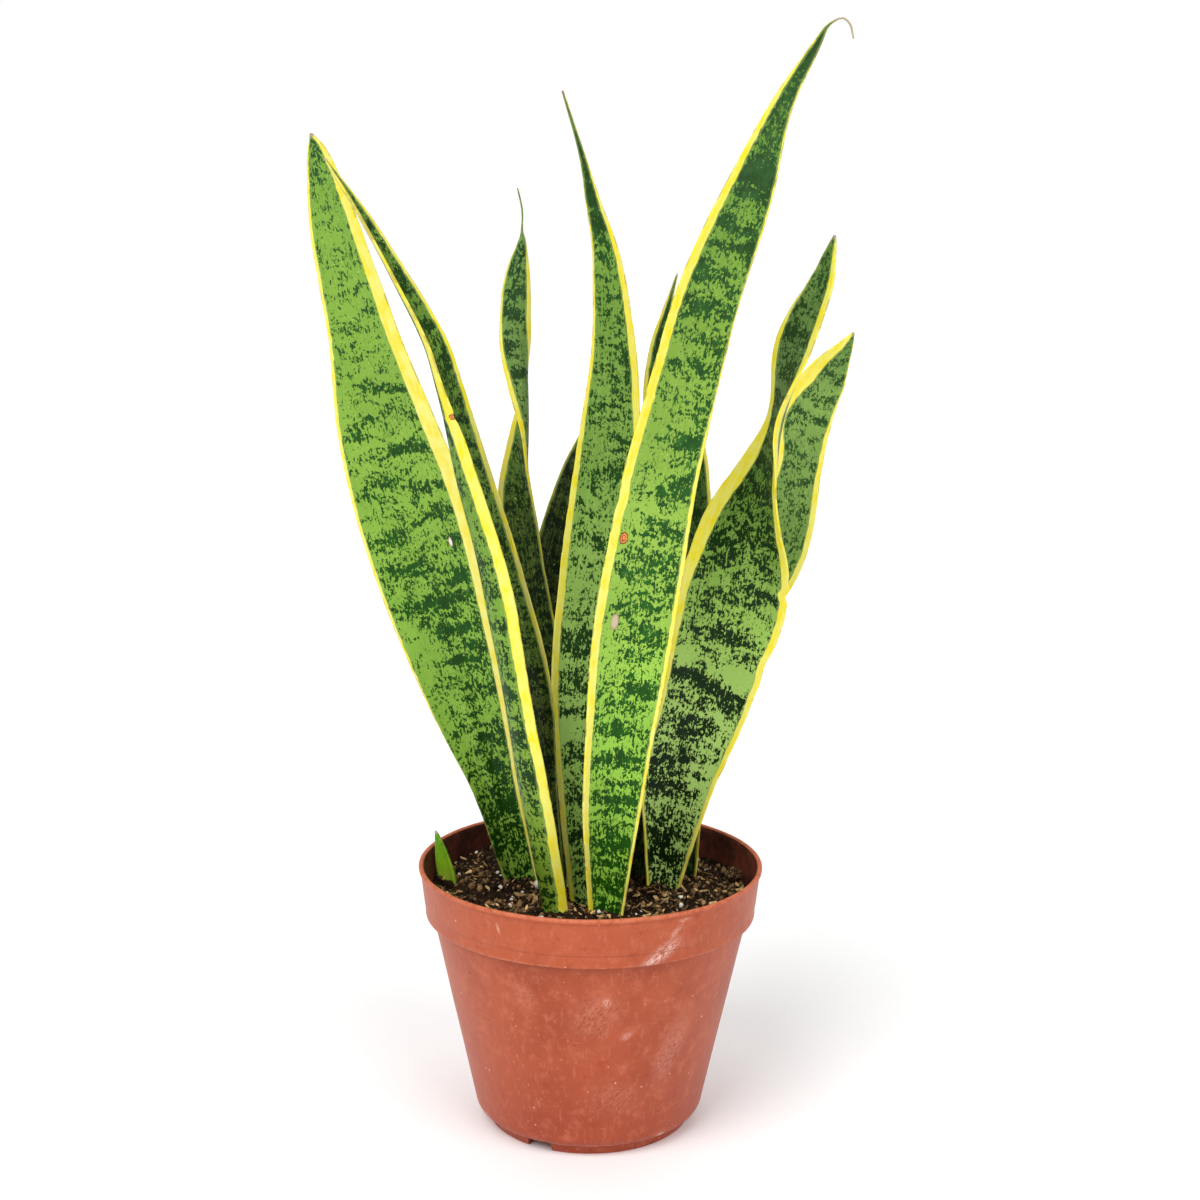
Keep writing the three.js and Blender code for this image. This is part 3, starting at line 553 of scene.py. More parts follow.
def leaf_object(name, leaf):
    rings, rise = fine_stations(leaf["stations"], LEAF_STEP)
    z, x, y, width, turn, fold = rings.T
    seed = leaf["seed"]
    middle = np.stack([x, y, z], 1)
    along = np.gradient(middle, axis=0)
    along /= np.linalg.norm(along, axis=1)[:, None]
    travel = np.concatenate([[0], np.cumsum(np.linalg.norm(np.diff(middle, axis=0), axis=1))])
    heading = np.radians(turn)
    across = np.stack([np.cos(heading), np.sin(heading), np.zeros_like(heading)], 1)
    across -= along * np.sum(across * along, 1)[:, None]
    across /= np.linalg.norm(across, axis=1)[:, None]
    back = np.cross(along, across)

    width = np.maximum(width, THINNEST)
    half = np.radians(np.maximum(fold, FLATTEST)) / 2
    radius = width / (2 * np.sin(half))
    reach = radius * half
    taper = LEAF_FOOT_THICKNESS + (LEAF_TOP_THICKNESS - LEAF_FOOT_THICKNESS) * rise
    thickness = np.minimum(taper, 0.25 + 0.6 * np.maximum(width, 0.6))
    edge = np.minimum(LEAF_EDGE, 0.7 * thickness)
    edge = np.minimum(edge, reach)

    # Each margin wanders a little, and has its bites.
    wave = leaf.get("wave", EDGE_WAVE) * np.minimum(1, width / 14)
    edges = []
    for side in (-1, 1):
        shift = wave * (wander(travel / 17, seed + side) + 0.5 * wander(travel / 5, seed + 2 * side))
        for where, at, depth, high in leaf.get("bites", ()):
            if where == side:
                shift = shift - depth * bump_at(z, at, high)
        edges.append(side * (reach + shift))
    left, right = edges

    place = np.linspace(-1, 1, COLUMNS)
    inset = edge / 2
    front = np.where(place[None, :] < 0, -place[None, :] * (left + inset)[:, None],
                     place[None, :] * (right - inset)[:, None])
    depth = edge[:, None] + (thickness - edge)[:, None] * (1 - place[None, :] ** 2)

    # The face isn't quite even: slow swells, and ridges that run up the leaf.
    swell = np.zeros((len(z), COLUMNS))
    for i, ring_travel in enumerate(travel):
        for k in range(COLUMNS):
            sample = (front[i, k] / SWELL_SIZE[0], ring_travel / SWELL_SIZE[1], seed * 3.1)
            swell[i, k] = lumps.noise(Vector(sample))
    swell *= SWELL * np.minimum(1, width / 25)[:, None]
    for low, high, start, end, deep, wide in leaf.get("ridges", ()):
        part = np.clip((z - low) / (high - low), 0, 1)
        fade = np.sin(np.pi * part) ** 0.5
        line = start + (end - start) * part
        swell -= deep * fade[:, None] * np.exp(-np.abs((place[None, :] - line[:, None]) / wide) ** 1.5)

    turns = np.linspace(0, np.pi, ROUND_POINTS + 2)[1:-1]
    arcs = [front]
    offsets = [swell]
    arcs.append((right - inset)[:, None] + inset[:, None] * np.sin(turns)[None, :])
    offsets.append(swell[:, -1:] + inset[:, None] * (1 - np.cos(turns))[None, :])
    arcs.append(front[:, ::-1])
    offsets.append((swell + depth)[:, ::-1])
    arcs.append((left + inset)[:, None] - inset[:, None] * np.sin(turns)[None, :])
    offsets.append(swell[:, :1] + inset[:, None] * (1 + np.cos(turns))[None, :])
    arc = np.hstack(arcs)
    offset = np.hstack(offsets)
    angle = arc / radius[:, None]
    sideways = (radius[:, None] + offset) * np.sin(angle)
    backwards = (radius[:, None] + offset) * np.cos(angle) - (radius * np.cos(half))[:, None]
    points = middle[:, None] + sideways[..., None] * across[:, None] + backwards[..., None] * back[:, None]

    ring = arc.shape[1]
    count = len(z)
    faces = []
    for i in range(count - 1):
        for k in range(ring):
            n = (k + 1) % ring
            faces.append((i * ring + k, i * ring + n, (i + 1) * ring + n, (i + 1) * ring + k))
    behind = COLUMNS + ROUND_POINTS
    for base, flip in ((0, True), ((count - 1) * ring, False)):
        ends = [tuple(base + k for k in range(COLUMNS - 1, behind + 1))]
        ends.append((base,) + tuple(base + k for k in range(behind + COLUMNS - 1, ring)))
        for k in range(COLUMNS - 1):
            far = behind + COLUMNS - 1 - k
            ends.append((base + k, base + k + 1, base + far - 1, base + far))
        faces += [face[::-1] for face in ends] if flip else ends
    made = add_mesh(name + "_blade", points.reshape(-1, 3), faces)
    face_out(made)

    # What the material needs to know about each point.
    margins = table_at(leaf["yellow"], z)
    rim = np.minimum(arc - left[:, None], right[:, None] - arc)
    inside = np.minimum(arc - (left + margins[:, 0])[:, None], (right - margins[:, 1])[:, None] - arc)
    spot = np.clip(arc / reach[:, None], -1, 1)
    shades = table_at(leaf["shade"], z)
    bias = np.where(spot < 0, shades[:, 1:2] + (shades[:, 1:2] - shades[:, 0:1]) * spot,
                    shades[:, 1:2] + (shades[:, 2:3] - shades[:, 1:2]) * spot)
    for at, high, start, end, strength, lift in leaf.get("bands", ()):
        level = z[:, None] - at - lift * spot
        window = 1 / (1 + np.exp(-(spot - start) / 0.07)) / (1 + np.exp((spot - end) / 0.07))
        bias = bias + strength * window * np.exp(-((level / high) ** 2))
    dry_length = leaf.get("dry", DRY_TIP)
    # Painted shade: the inner table darkens the inner face's tints, where the neighbouring leaves shade it.
    inner_painted_shade = np.ones_like(arc)
    inner_painted_shade[:, :COLUMNS + ROUND_POINTS] = table_at(leaf.get("inner", [(0, 1.0)]), z)
    dry = np.clip(1.3 - (travel[-1] - travel) / dry_length, 0, 1)[:, None] * np.ones_like(arc)
    run = travel[:, None] + np.zeros_like(arc)
    set_vectors(made, "leaf_at", np.stack([arc, run, inside], -1))
    set_vectors(made, "leaf_tone", np.stack([bias, dry, rim], -1))
    heights = [row[0] for row in leaf["tints"]]
    for k, layer in enumerate(("leaf_light", "leaf_dark", "leaf_yellow")):
        table = [(height,) + linear(row[k + 1]) for height, row in zip(heights, leaf["tints"])]
        tint = table_at(table, z)[:, None, :] * np.ones((1, ring, 1))
        # The inner face takes its painted shade here.
        tint[..., :3] *= inner_painted_shade[..., None]
        set_colors(made, layer, tint)
    made.data.materials.append(leaf_material(name, leaf, z, travel, reach))
    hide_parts(name)
    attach(made, "root")
    low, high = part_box(name)
    box = np.array([points.min((0, 1)), points.max((0, 1))]) * MM
    gap = np.abs(box - np.array([low, high])).max() / MM
    print(f"{name}: {len(faces)} faces, its box is within {gap:.2f} mm of the CAD leaf's")


def leaf_material(name, leaf, z, travel, reach):
    g = Graph(name + "_skin")
    across, along, inside = g.split(g.attribute("leaf_at")["Vector"])
    bias, dry, rim = g.split(g.attribute("leaf_tone")["Vector"])
    light = g.attribute("leaf_light")["Color"]
    dark = g.attribute("leaf_dark")["Color"]
    yellow = g.attribute("leaf_yellow")["Color"]
    seed = float(leaf["seed"])

    def grain(wide, long, detail=2.0, roughness=0.5, shift=0.0, path=None):
        u = g.math("DIVIDE", across, wide)
        v = g.math("DIVIDE", along if path is None else path, long)
        return g.noise(g.vector(u, v, seed + shift), 1.0, detail, roughness)

    # The bands sway up and down across the leaf.
    path = g.shake(grain(11, 16, 2.0, 0.5, 0.37), 16.0, along)
    fleck = grain(0.9, 1.7, 2.0, 0.65, 1.7)
    fine = grain(0.4, 0.8, 1.0, 0.5, 2.9)
    band = grain(24, 5.0, 3.0, 0.6, 4.1, path)
    patch = grain(7, 3.8, 2.0, 0.5, 5.3, path)
    middle = grain(2.6, 2.4, 2.0, 0.55, 5.9, path)
    streak = grain(1.2, 14, 2.0, 0.5, 6.1)
    layers = ((band, 0.44), (patch, 0.32), (middle, 0.36), (fleck, 0.70), (fine, 0.24), (streak, 0.26))
    field = g.total(*layers, (bias, 0.8))
    even = sum(weight for _, weight in layers) / 2
    mask = g.step(field, even + 0.045, even + 0.08)
    half_tone = g.step(field, even, even + 0.07)

    tone = grain(18, 30, 2.0, 0.5, 7.7)
    fibre = grain(0.5, 22, 2.0, 0.6, 8.9)
    light = g.mix(g.step(tone, 0.3, 0.7), g.mix(0.14, light, (70, 120, 30), "MULTIPLY"), light)
    light = g.over(light, g.step(fibre, 0.35, 0.75), 0.14, (196, 214, 100))
    light = g.over(light, half_tone, 0.18, dark)
    pinprick = g.math("MULTIPLY", g.step(grain(0.9, 1.2, 1.0, 0.5, 10.3), 0.66, 0.74), 0.3)
    light = g.mix(pinprick, light, (206, 226, 120))
    deep = g.mix(0.5, dark, (14, 40, 8))
    dark = g.mix(g.step(grain(3.2, 5.0, 2.0, 0.5, 9.5), 0.35, 0.7), deep, dark)
    green = g.mix(mask, light, dark)

    # The yellow margin, which pales and deepens as it goes up, with a grey-green line inside it.
    cloud = grain(5.0, 8.0, 2.0, 0.55, 12.1)
    thread = grain(0.7, 14, 2.0, 0.6, 13.3)
    gold = g.mix(g.step(cloud, 0.36, 0.68), g.mix(0.3, yellow, (253, 246, 160)),
                 g.mix(0.55, yellow, (248, 222, 16)))
    gold = g.over(gold, g.step(thread, 0.45, 0.8), 0.3, (255, 250, 180))
    speck = g.step(grain(0.8, 1.1, 1.0, 0.5, 14.9), 0.74, 0.8)
    gold = g.over(gold, speck, 0.5, (150, 110, 40))
    ragged = g.shake(grain(0.9, 4.0, 2.0, 0.5, 15.7), 0.9, inside)
    line = g.math("MULTIPLY", g.step(ragged, -0.05, 0.1), g.step(ragged, 0.9, 0.25))
    green = g.over(green, line, 0.45, (150, 176, 96))
    skin = g.mix(g.step(ragged, -0.14, 0.14), gold, green)

    # A thin corky rim in places, the marks, and the dried tip.
    corky = g.math("MULTIPLY", g.step(rim, 0.42, 0.12), g.step(grain(6, 7, 2.0, 0.6, 16.3), 0.5, 0.62))
    skin = g.over(skin, corky, 0.5, (150, 116, 58))
    rough = g.total((fleck, 0.10), (tone, 0.12))
    for kind, height, spot, wide, long in leaf.get("marks", ()):
        order = np.argsort(z)
        at = float(np.interp(height, z[order], travel[order]))
        out = spot * float(np.interp(height, z[order], reach[order]))
        du = g.math("DIVIDE", g.math("SUBTRACT", across, out), wide)
        dv = g.math("DIVIDE", g.math("SUBTRACT", along, at), long)
        far = g.shake(grain(0.9, 0.9, 2.0, 0.5, 17.1), 0.5, g.length(du, dv))
        skin = g.mix(g.step(far, 1.08, 0.92), skin, mark_color(g, kind, far))
    dried = g.mix(g.step(fibre, 0.3, 0.7), (128, 104, 74), (206, 190, 160))
    skin = g.mix(g.step(dry, 0.15, 0.7), skin, dried)

    roughness = g.math("ADD", rough, LEAF_ROUGHNESS)
    height = g.total((fibre, 0.7), (mask, -0.10), (grain(1.6, 2.4, 2.0, 0.5, 18.7), 0.5))
    return g.finish(skin, roughness, height, LEAF_RELIEF, LEAF_GLOSS)


def mark_color(g, kind, far):
    """The colour inside a blemish, where far is 0 at its middle and 1 at its edge."""
    if kind == "scab":
        ring = g.near(far, 0.45, 0.12, 0.05)
        inner = g.mix(ring, (232, 150, 84), (150, 52, 14))
        return g.mix(g.step(far, 0.72, 0.86), inner, (118, 40, 10))
    if kind == "spot":
        return g.mix(g.step(far, 0.6, 0.95), (206, 186, 158), (168, 152, 110))
    return g.mix(g.step(far, 0.5, 0.95), (246, 240, 230), (196, 150, 130))


for leaf_name, leaf_spec in LEAVES.items():
    leaf_object(leaf_name, leaf_spec)


# ------------------------------------------------------------------------------- pot

POT_SEGMENTS = 288
RIM_Z = 118
COLLAR_FOOT = (73.2, 96)
COLLAR_SEAM_Z = 101.3  # a fine line round the collar
WALL_TOP = (69.9, 95)
WALL_FOOT = (51.4, 10)
POT_WALL = 1.6
STEP_THICKNESS = 1.4
FLOOR_TOP_Z = 6.8
SKIRT_TOP_Z = 5
SKIRT_RADIUS = 45.4
SKIRT_WALL = 3
NOTCH_WIDTH = 13.4
NOTCH_HEIGHT = 4.6
NOTCHES = (-117.5, 2.5, 122.5)
DRAIN_RADIUS = 4.5
DRAIN_CIRCLE = 28
DRAIN_COUNT = 6
CENTRE_FOOT_RADIUS = 9
CREASE = 38  # degrees, from which an edge is sharp
POT_RELIEF = 0.12
POT_GLOSS = 0.28

# The outline's curves, from the axis under the floor round the outside to the axis above it: (radius, z).
SKIRT = [(0, SKIRT_TOP_Z), (SKIRT_RADIUS - SKIRT_WALL, SKIRT_TOP_Z), (SKIRT_RADIUS - SKIRT_WALL, 0.3),
         (SKIRT_RADIUS - SKIRT_WALL + 0.3, 0), (SKIRT_RADIUS - 0.4, 0), (SKIRT_RADIUS, 0.4), (45.7, 1.6),
         (46.1, 3), (46.45, 4.1), (46.75, 4.45), (47.05, 4.55), (47.4, 4.75), (48.4, 5.1), (49.4, 5.65),
         (50.2, 6.5), (50.8, 7.6), (51.2, 8.8)]
UNDER_STEP = [(69.75, 94.3), (69.85, 94.75), (70.15, 95), (71.2, 95.3), (72.4, 95.65), (72.9, 95.82),
              (73.12, 96), (73.2, 96.3), (73.28, 98), (73.42, 100.6), (73.5, 101.2), (73.72, 101.6)]
LIP = [(75.35, 115.3), (75.45, 115.7), (75.8, 115.95), (76.1, 116.2), (76.2, 116.7), (76.2, 117.2),
       (76.05, 117.65), (75.7, 117.93), (75.3, RIM_Z), (74.8, 117.97), (74.4, 117.75), (74.1, 117.3)]
POT_FLOOR = [(49.9, 11), (49.3, 9), (48.4, 7.6), (46.8, FLOOR_TOP_Z), (0, FLOOR_TOP_Z)]

# Marks on the wall: turn (radians from the front, to the right), height, half width (radians), half
# height, slant (radians per mm), strength, colour.
POT_DAUBS = [
    (0.43, 101.0, 0.10, 7.5, 0.013, 0.75, (232, 196, 184)),
    (0.36, 97.5, 0.06, 3.0, 0.02, 0.6, (232, 200, 188)),
    (0.50, 109.5, 0.03, 4.0, 0.01, 0.55, (232, 196, 184)),
    (0.55, 114.2, 0.05, 1.2, 0.0, 0.8, (228, 176, 152)),
    (-0.53, 110.0, 0.014, 3.4, -0.003, 0.8, (226, 172, 146)),
    (-0.74, 95.6, 0.018, 1.1, 0.0, 0.9, (70, 20, 10)),
    (0.113, 78.2, 0.045, 3.0, 0.0, 0.8, (226, 166, 152)),
    (0.253, 61.0, 0.05, 3.0, 0.01, 0.7, (226, 166, 152)),
    (0.05, 72.0, 0.22, 14.0, 0.004, 0.4, (214, 146, 122)),
    (0.62, 50.0, 0.16, 22.0, 0.004, 0.4, (218, 160, 140)),
    (-0.42, 78.0, 0.10, 10.0, 0.0, 0.4, (214, 142, 116)),
    (0.20, 30.0, 0.30, 12.0, 0.0, 0.3, (210, 140, 116)),
    (0.68, 6.6, 0.05, 1.2, 0.0, 0.95, (246, 226, 216)),
    (-1.08, 7.8, 0.07, 1.4, 0.0, 0.7, (236, 196, 178)),
    (-0.096, 4.2, 0.02, 0.9, 0.0, 0.95, (50, 12, 8)),
]


def inner_corners():
    """The inner face's corners above the floor's fillet, going up: the step's two and the rim's."""
    return [(WALL_TOP[0] - POT_WALL, WALL_TOP[1] + STEP_THICKNESS),
            (COLLAR_FOOT[0] - POT_WALL, COLLAR_FOOT[1] + STEP_THICKNESS), LIP[-1]]


def straight(start, end, count):
    """Points from start to end, without the end."""
    return [tuple(np.array(start) + (np.array(end) - start) * k / count) for k in range(count)]


def revolve(name, profile, segments):
    """A closed shell from a (radius, z) loop that starts and ends on the axis."""
    vertices = []
    starts = []
    for radius, level in profile:
        starts.append(len(vertices))
        if radius == 0:
            vertices.append((0, 0, level))
            continue
        for k in range(segments):
            turn = 2 * math.pi * k / segments
            place = Vector((math.cos(turn), math.sin(turn), level / 40))
            even = 1 + 0.0016 * lumps.noise(place * 1.7) * min(1, level / 30)
            lift = 0.25 * lumps.noise(place * 2.3) * max(0, (level - 110) / 8)
            vertices.append((radius * even * math.cos(turn), radius * even * math.sin(turn), level + lift))
    faces = []
    for i in range(len(profile) - 1):
        a, b = starts[i], starts[i + 1]
        for k in range(segments):
            n = (k + 1) % segments
            if profile[i][0] == 0:
                faces.append((a, b + n, b + k))
            elif profile[i + 1][0] == 0:
                faces.append((a + k, a + n, b))
            else:
                faces.append((a + k, a + n, b + n, b + k))
    return add_mesh(name, vertices, faces)


def cut(target, cutter, operation):
    """Joins cutter to target or takes it away, for good."""
    change = target.modifiers.new("cut", "BOOLEAN")
    change.operation = operation
    change.solver = "EXACT"
    change.object = cutter
    bpy.context.view_layer.objects.active = target
    bpy.ops.object.modifier_apply(modifier=change.name)
    bpy.data.objects.remove(cutter)


def pot_object():
    wall_corner, shelf_corner, rim_corner = inner_corners()
    profile = SKIRT + straight(WALL_FOOT, UNDER_STEP[0], 28)
    profile += UNDER_STEP + straight((73.8, 102.2), LIP[0], 9)
    profile += LIP + straight(rim_corner, shelf_corner, 8)[1:]
    profile += straight(shelf_corner, wall_corner, 2) + straight(wall_corner, POT_FLOOR[0], 14) + POT_FLOOR
    made = revolve("pot_shell", profile, POT_SEGMENTS)
    face_out(made)

    tools = bmesh.new()
    for angle in NOTCHES:
        turn = Matrix.Rotation(math.radians(angle), 4, "Z")
        size = Matrix.Diagonal((9, NOTCH_WIDTH, 2 * NOTCH_HEIGHT, 1))
        box = bmesh.ops.create_cube(tools, size=1)["verts"]
        for corner in box:  # the notch is narrower at its top
            if corner.co.z > 0:
                corner.co.y *= 0.8
        place = turn @ Matrix.Translation((SKIRT_RADIUS - 1.5, 0, 0)) @ size
        bmesh.ops.transform(tools, matrix=place, verts=box)
    for k in range(DRAIN_COUNT):
        turn = Matrix.Rotation(2 * math.pi * k / DRAIN_COUNT, 4, "Z")
        place = turn @ Matrix.Translation((DRAIN_CIRCLE, 0, SKIRT_TOP_Z + 0.9))
        bmesh.ops.create_cone(tools, cap_ends=True, segments=40, radius1=DRAIN_RADIUS, radius2=DRAIN_RADIUS,
                              depth=7, matrix=place)
    bmesh.ops.scale(tools, vec=(MM, MM, MM), verts=tools.verts)
    cut_mesh = bpy.data.meshes.new("cutters")
    tools.to_mesh(cut_mesh)
    tools.free()
    cutters = bpy.data.objects.new("cutters", cut_mesh)
    scene.collection.objects.link(cutters)
    cut(made, cutters, "DIFFERENCE")

    pad = bmesh.new()
    bmesh.ops.create_cone(pad, cap_ends=True, segments=64, radius1=(CENTRE_FOOT_RADIUS + 1) * MM,
                          radius2=CENTRE_FOOT_RADIUS * MM, depth=(SKIRT_TOP_Z + 0.5) * MM,
                          matrix=Matrix.Translation((0, 0, (SKIRT_TOP_Z + 0.5) / 2 * MM)))
    pad_mesh = bpy.data.meshes.new("pad")
    pad.to_mesh(pad_mesh)
    pad.free()
    foot = bpy.data.objects.new("pad", pad_mesh)
    scene.collection.objects.link(foot)
    cut(made, foot, "UNION")
    made.data.shade_smooth()
    made.data.set_sharp_from_angle(angle=math.radians(CREASE))
    made.data.materials.clear()
    made.data.materials.append(pot_material())
    mark_inside(made.data)
    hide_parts("pot")
    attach(made, "root")


def mark_inside(mesh):
    """Writes pot_inside: 1 on the faces that look into the pot and 0 on its outside and foot."""
    values = []
    for face in mesh.polygons:
        level = face.center.z / MM
        outwards = face.normal.x * face.center.x + face.normal.y * face.center.y
        looks_in = outwards < -1e-3 or face.normal.z > 0.5
        values.append(1.0 if looks_in and SKIRT_TOP_Z + 1 < level < RIM_Z - 0.9 else 0.0)
    layer = mesh.attributes.new("pot_inside", "FLOAT", "FACE")
    layer.data.foreach_set("value", values)


def pot_material():
    g = Graph("pot_skin")
    where = object_mm(g)
    x, y, z = g.split(where)
    turn = g.math("ARCTAN2", x, g.math("MULTIPLY", y, -1.0))  # 0 at the front, positive to the right
    facing_in = g.attribute("pot_inside")["Fac"]
    on_collar = g.step(z, COLLAR_FOOT[1] - 0.4, COLLAR_FOOT[1] + 0.2)

    base = g.mix(g.step(g.noise(where, 0.035, 3.0, 0.6), 0.3, 0.7), (160, 70, 41), (175, 82, 50))
    # Painted shade: the wall darkens from z 62 down towards the foot.
    base = g.over(base, g.step(z, 62.0, 8.0), 0.55, (152, 62, 38))
    base = g.over(base, on_collar, 0.3, (190, 92, 54))
    # Painted highlight: the left side of the wall, as seen from the front, is lightened.
    base = g.over(base, g.step(turn, -0.5, -1.3), 0.35, (186, 98, 70))
    blotch = g.noise(where, 0.16, 3.0, 0.65)
    base = g.over(base, g.step(blotch, 0.50, 0.70), 0.42, (194, 106, 76))
    base = g.over(base, g.step(blotch, 0.42, 0.28), 0.5, (150, 56, 28))

    # Rubbed patches, water marks, and specks both pale and dark.
    rubbed = g.noise(where, 0.55, 4.0, 0.7)
    base = g.over(base, g.step(rubbed, 0.58, 0.74), 0.40, (212, 138, 112))
    specks = g.cells(where, 0.16)
    lone = g.step(g.noise(where, 0.05, 2.0, 0.5), 0.42, 0.6)
    base = g.over(base, g.step(specks, 0.085, 0.045), lone, (224, 170, 148))
    moved = g.node("ShaderNodeVectorMath", {0: where, 1: (31.0, 17.0, 5.0)}, operation="ADD").outputs[0]
    specks = g.cells(moved, 0.075)
    base = g.over(base, g.step(specks, 0.045, 0.02), 0.85, (84, 22, 10))
    drip = g.noise(g.vector(g.math("MULTIPLY", turn, 26.0), g.math("MULTIPLY", z, 0.12), 4.0), 1.0, 3.0, 0.6)
    base = g.over(base, g.step(drip, 0.54, 0.74), 0.22, (206, 132, 106))

    def daub(base, at_turn, level, wide, high, slant, strength, tone, ragged):
        """A mark round a place on the wall: half sizes in radians and mm, slanted by radians per mm."""
        above = g.math("SUBTRACT", z, level)
        aside = g.math("SUBTRACT", turn, at_turn)
        aside = g.math("MULTIPLY_ADD", above, -slant, aside)
        du = g.math("DIVIDE", aside, wide)
        dv = g.math("DIVIDE", above, high)
        far = g.shake(ragged, 2.4, g.length(du, dv))
        shown = g.math("MULTIPLY", g.step(far, 1.15, 0.35), g.step(ragged, 0.42, 0.60))
        return g.over(base, shown, strength, tone)

    # A whitish smear of dried water on the right of the collar, with drops, scuffs and chips.
    slanted = g.math("MULTIPLY_ADD", z, -0.9, g.math("MULTIPLY", turn, 74.0))
    scratchy = g.noise(g.vector(slanted, g.math("MULTIPLY", z, 0.45), 2.0), 1.3, 4.0, 0.75)
    for spot in POT_DAUBS:
        base = daub(base, *spot, scratchy)

    # A darker line runs round the collar's seam. The lip, the collar's foot and the skirt's top are worn
    # pale.
    seam = g.math("MULTIPLY", g.near(z, COLLAR_SEAM_Z, 0.55, 0.1), 0.35)
    base = g.mix(seam, base, (146, 58, 34))
    worn = g.noise(where, 0.4, 3.0, 0.65)
    lip = g.math("MULTIPLY", g.step(z, RIM_Z - 1.8, RIM_Z - 0.6), g.step(worn, 0.3, 0.6))
    base = g.over(base, lip, 0.5, (216, 128, 92))
    edge = g.math("MULTIPLY", g.near(z, COLLAR_FOOT[1] + 0.2, 0.7, 0.1), g.step(worn, 0.4, 0.7))
    base = g.over(base, edge, 0.5, (214, 132, 98))
    dusty = g.step(g.noise(where, 0.8, 3.0, 0.7), 0.52, 0.62)
    dust = g.math("MULTIPLY", g.near(z, SKIRT_TOP_Z + 0.2, 1.2, 0.2), dusty)
    base = g.over(base, dust, 0.9, (228, 184, 166))
    grime = g.math("MULTIPLY", g.step(z, 4.2, 1.0), g.step(g.noise(where, 0.35, 3.0, 0.7), 0.54, 0.66))
    base = g.over(base, grime, 0.75, (80, 26, 14))

    # Inside, the wall is darkened by stains from the potting mix and by painted shade.
    stain = g.noise(where, 0.11, 4.0, 0.7)
    stain_and_shade = g.mix(g.step(stain, 0.35, 0.65), (66, 28, 18), (112, 52, 34))
    stain_and_shade = g.over(stain_and_shade, g.step(g.noise(where, 0.45, 4.0, 0.7), 0.55, 0.7), 0.75, (38, 24, 16))
    stain_and_shade = g.over(stain_and_shade, g.step(g.noise(where, 0.9, 3.0, 0.6), 0.64, 0.74), 0.5, (150, 120, 104))
    color = g.mix(facing_in, base, stain_and_shade)
    roughness = g.total((rubbed, 0.12), (blotch, 0.10), (facing_in, 0.2), (0.34, 1.0))
    height = g.total((g.noise(where, 1.1, 3.0, 0.6), 0.5), (rubbed, 0.3))
    return g.finish(color, roughness, height, POT_RELIEF, POT_GLOSS)


pot_object()


# ------------------------------------------------------------------------------- potting mix

SOIL_GAP = 0.3
SOIL_REACH = 72  # about where the soil meets the wall
SOIL_TURNS = 300
SOIL_RINGS = 78
LOWEST_EDGE = 98.4  # the soil always covers the step inside the wall
SIDE_LEVELS = (97.9, 96.4, 80, 60, 35, 11)
# The soil's level at the wall, by degrees round from the right (+X) through the back.
SOIL_AT_WALL = [(0, 100.5), (45, 103.5), (90, 105), (130, 106.5), (160, 105.5), (183, 102), (200, 102.5),
                (225, 104.5), (270, 102.0), (305, 100), (330, 99), (360, 100.5)]
SOIL_CROWN = 103.4
HEAPS = [(-54, -3, 9, 4.0), (20, -38, 14, -1.0), (50, -22, 18, -1.0), (-31, 10, 10, -1.5),
         (-65, 6, 5, -4.0)]  # x, y, half width, height

# Where each leaf goes through the soil.
STEMS = [(spec["stations"][1][1], spec["stations"][1][2]) for spec in LEAVES.values()]


def soil_level(x, y):
    """The height of the potting mix, with its lumps."""
    radius = math.hypot(x, y)
    turn = math.degrees(math.atan2(y, x)) % 360
    table = np.array(SOIL_AT_WALL)
    wall = float(np.interp(turn, table[:, 0], table[:, 1]))
    part = min(1, radius / SOIL_REACH)
    level = SOIL_CROWN + (wall - SOIL_CROWN) * part ** 2
    for hx, hy, wide, high in HEAPS:
        level += high * math.exp(-((x - hx) ** 2 + (y - hy) ** 2) / wide ** 2)
    place = Vector((x, y, 3.0))
    level += 2.6 * lumps.noise(place / 13) + 2.2 * lumps.noise(place / 5.2)
    level += 1.7 * lumps.noise(place / 2.6) + 0.9 * abs(lumps.noise(place / 1.4))
    return level


def inner_wall(level):
    """The radius of the pot's inner face at a height."""
    table = np.array([(11, 49.9)] + [(z, r) for r, z in inner_corners()])
    return float(np.interp(level, table[:, 0], table[:, 1]))


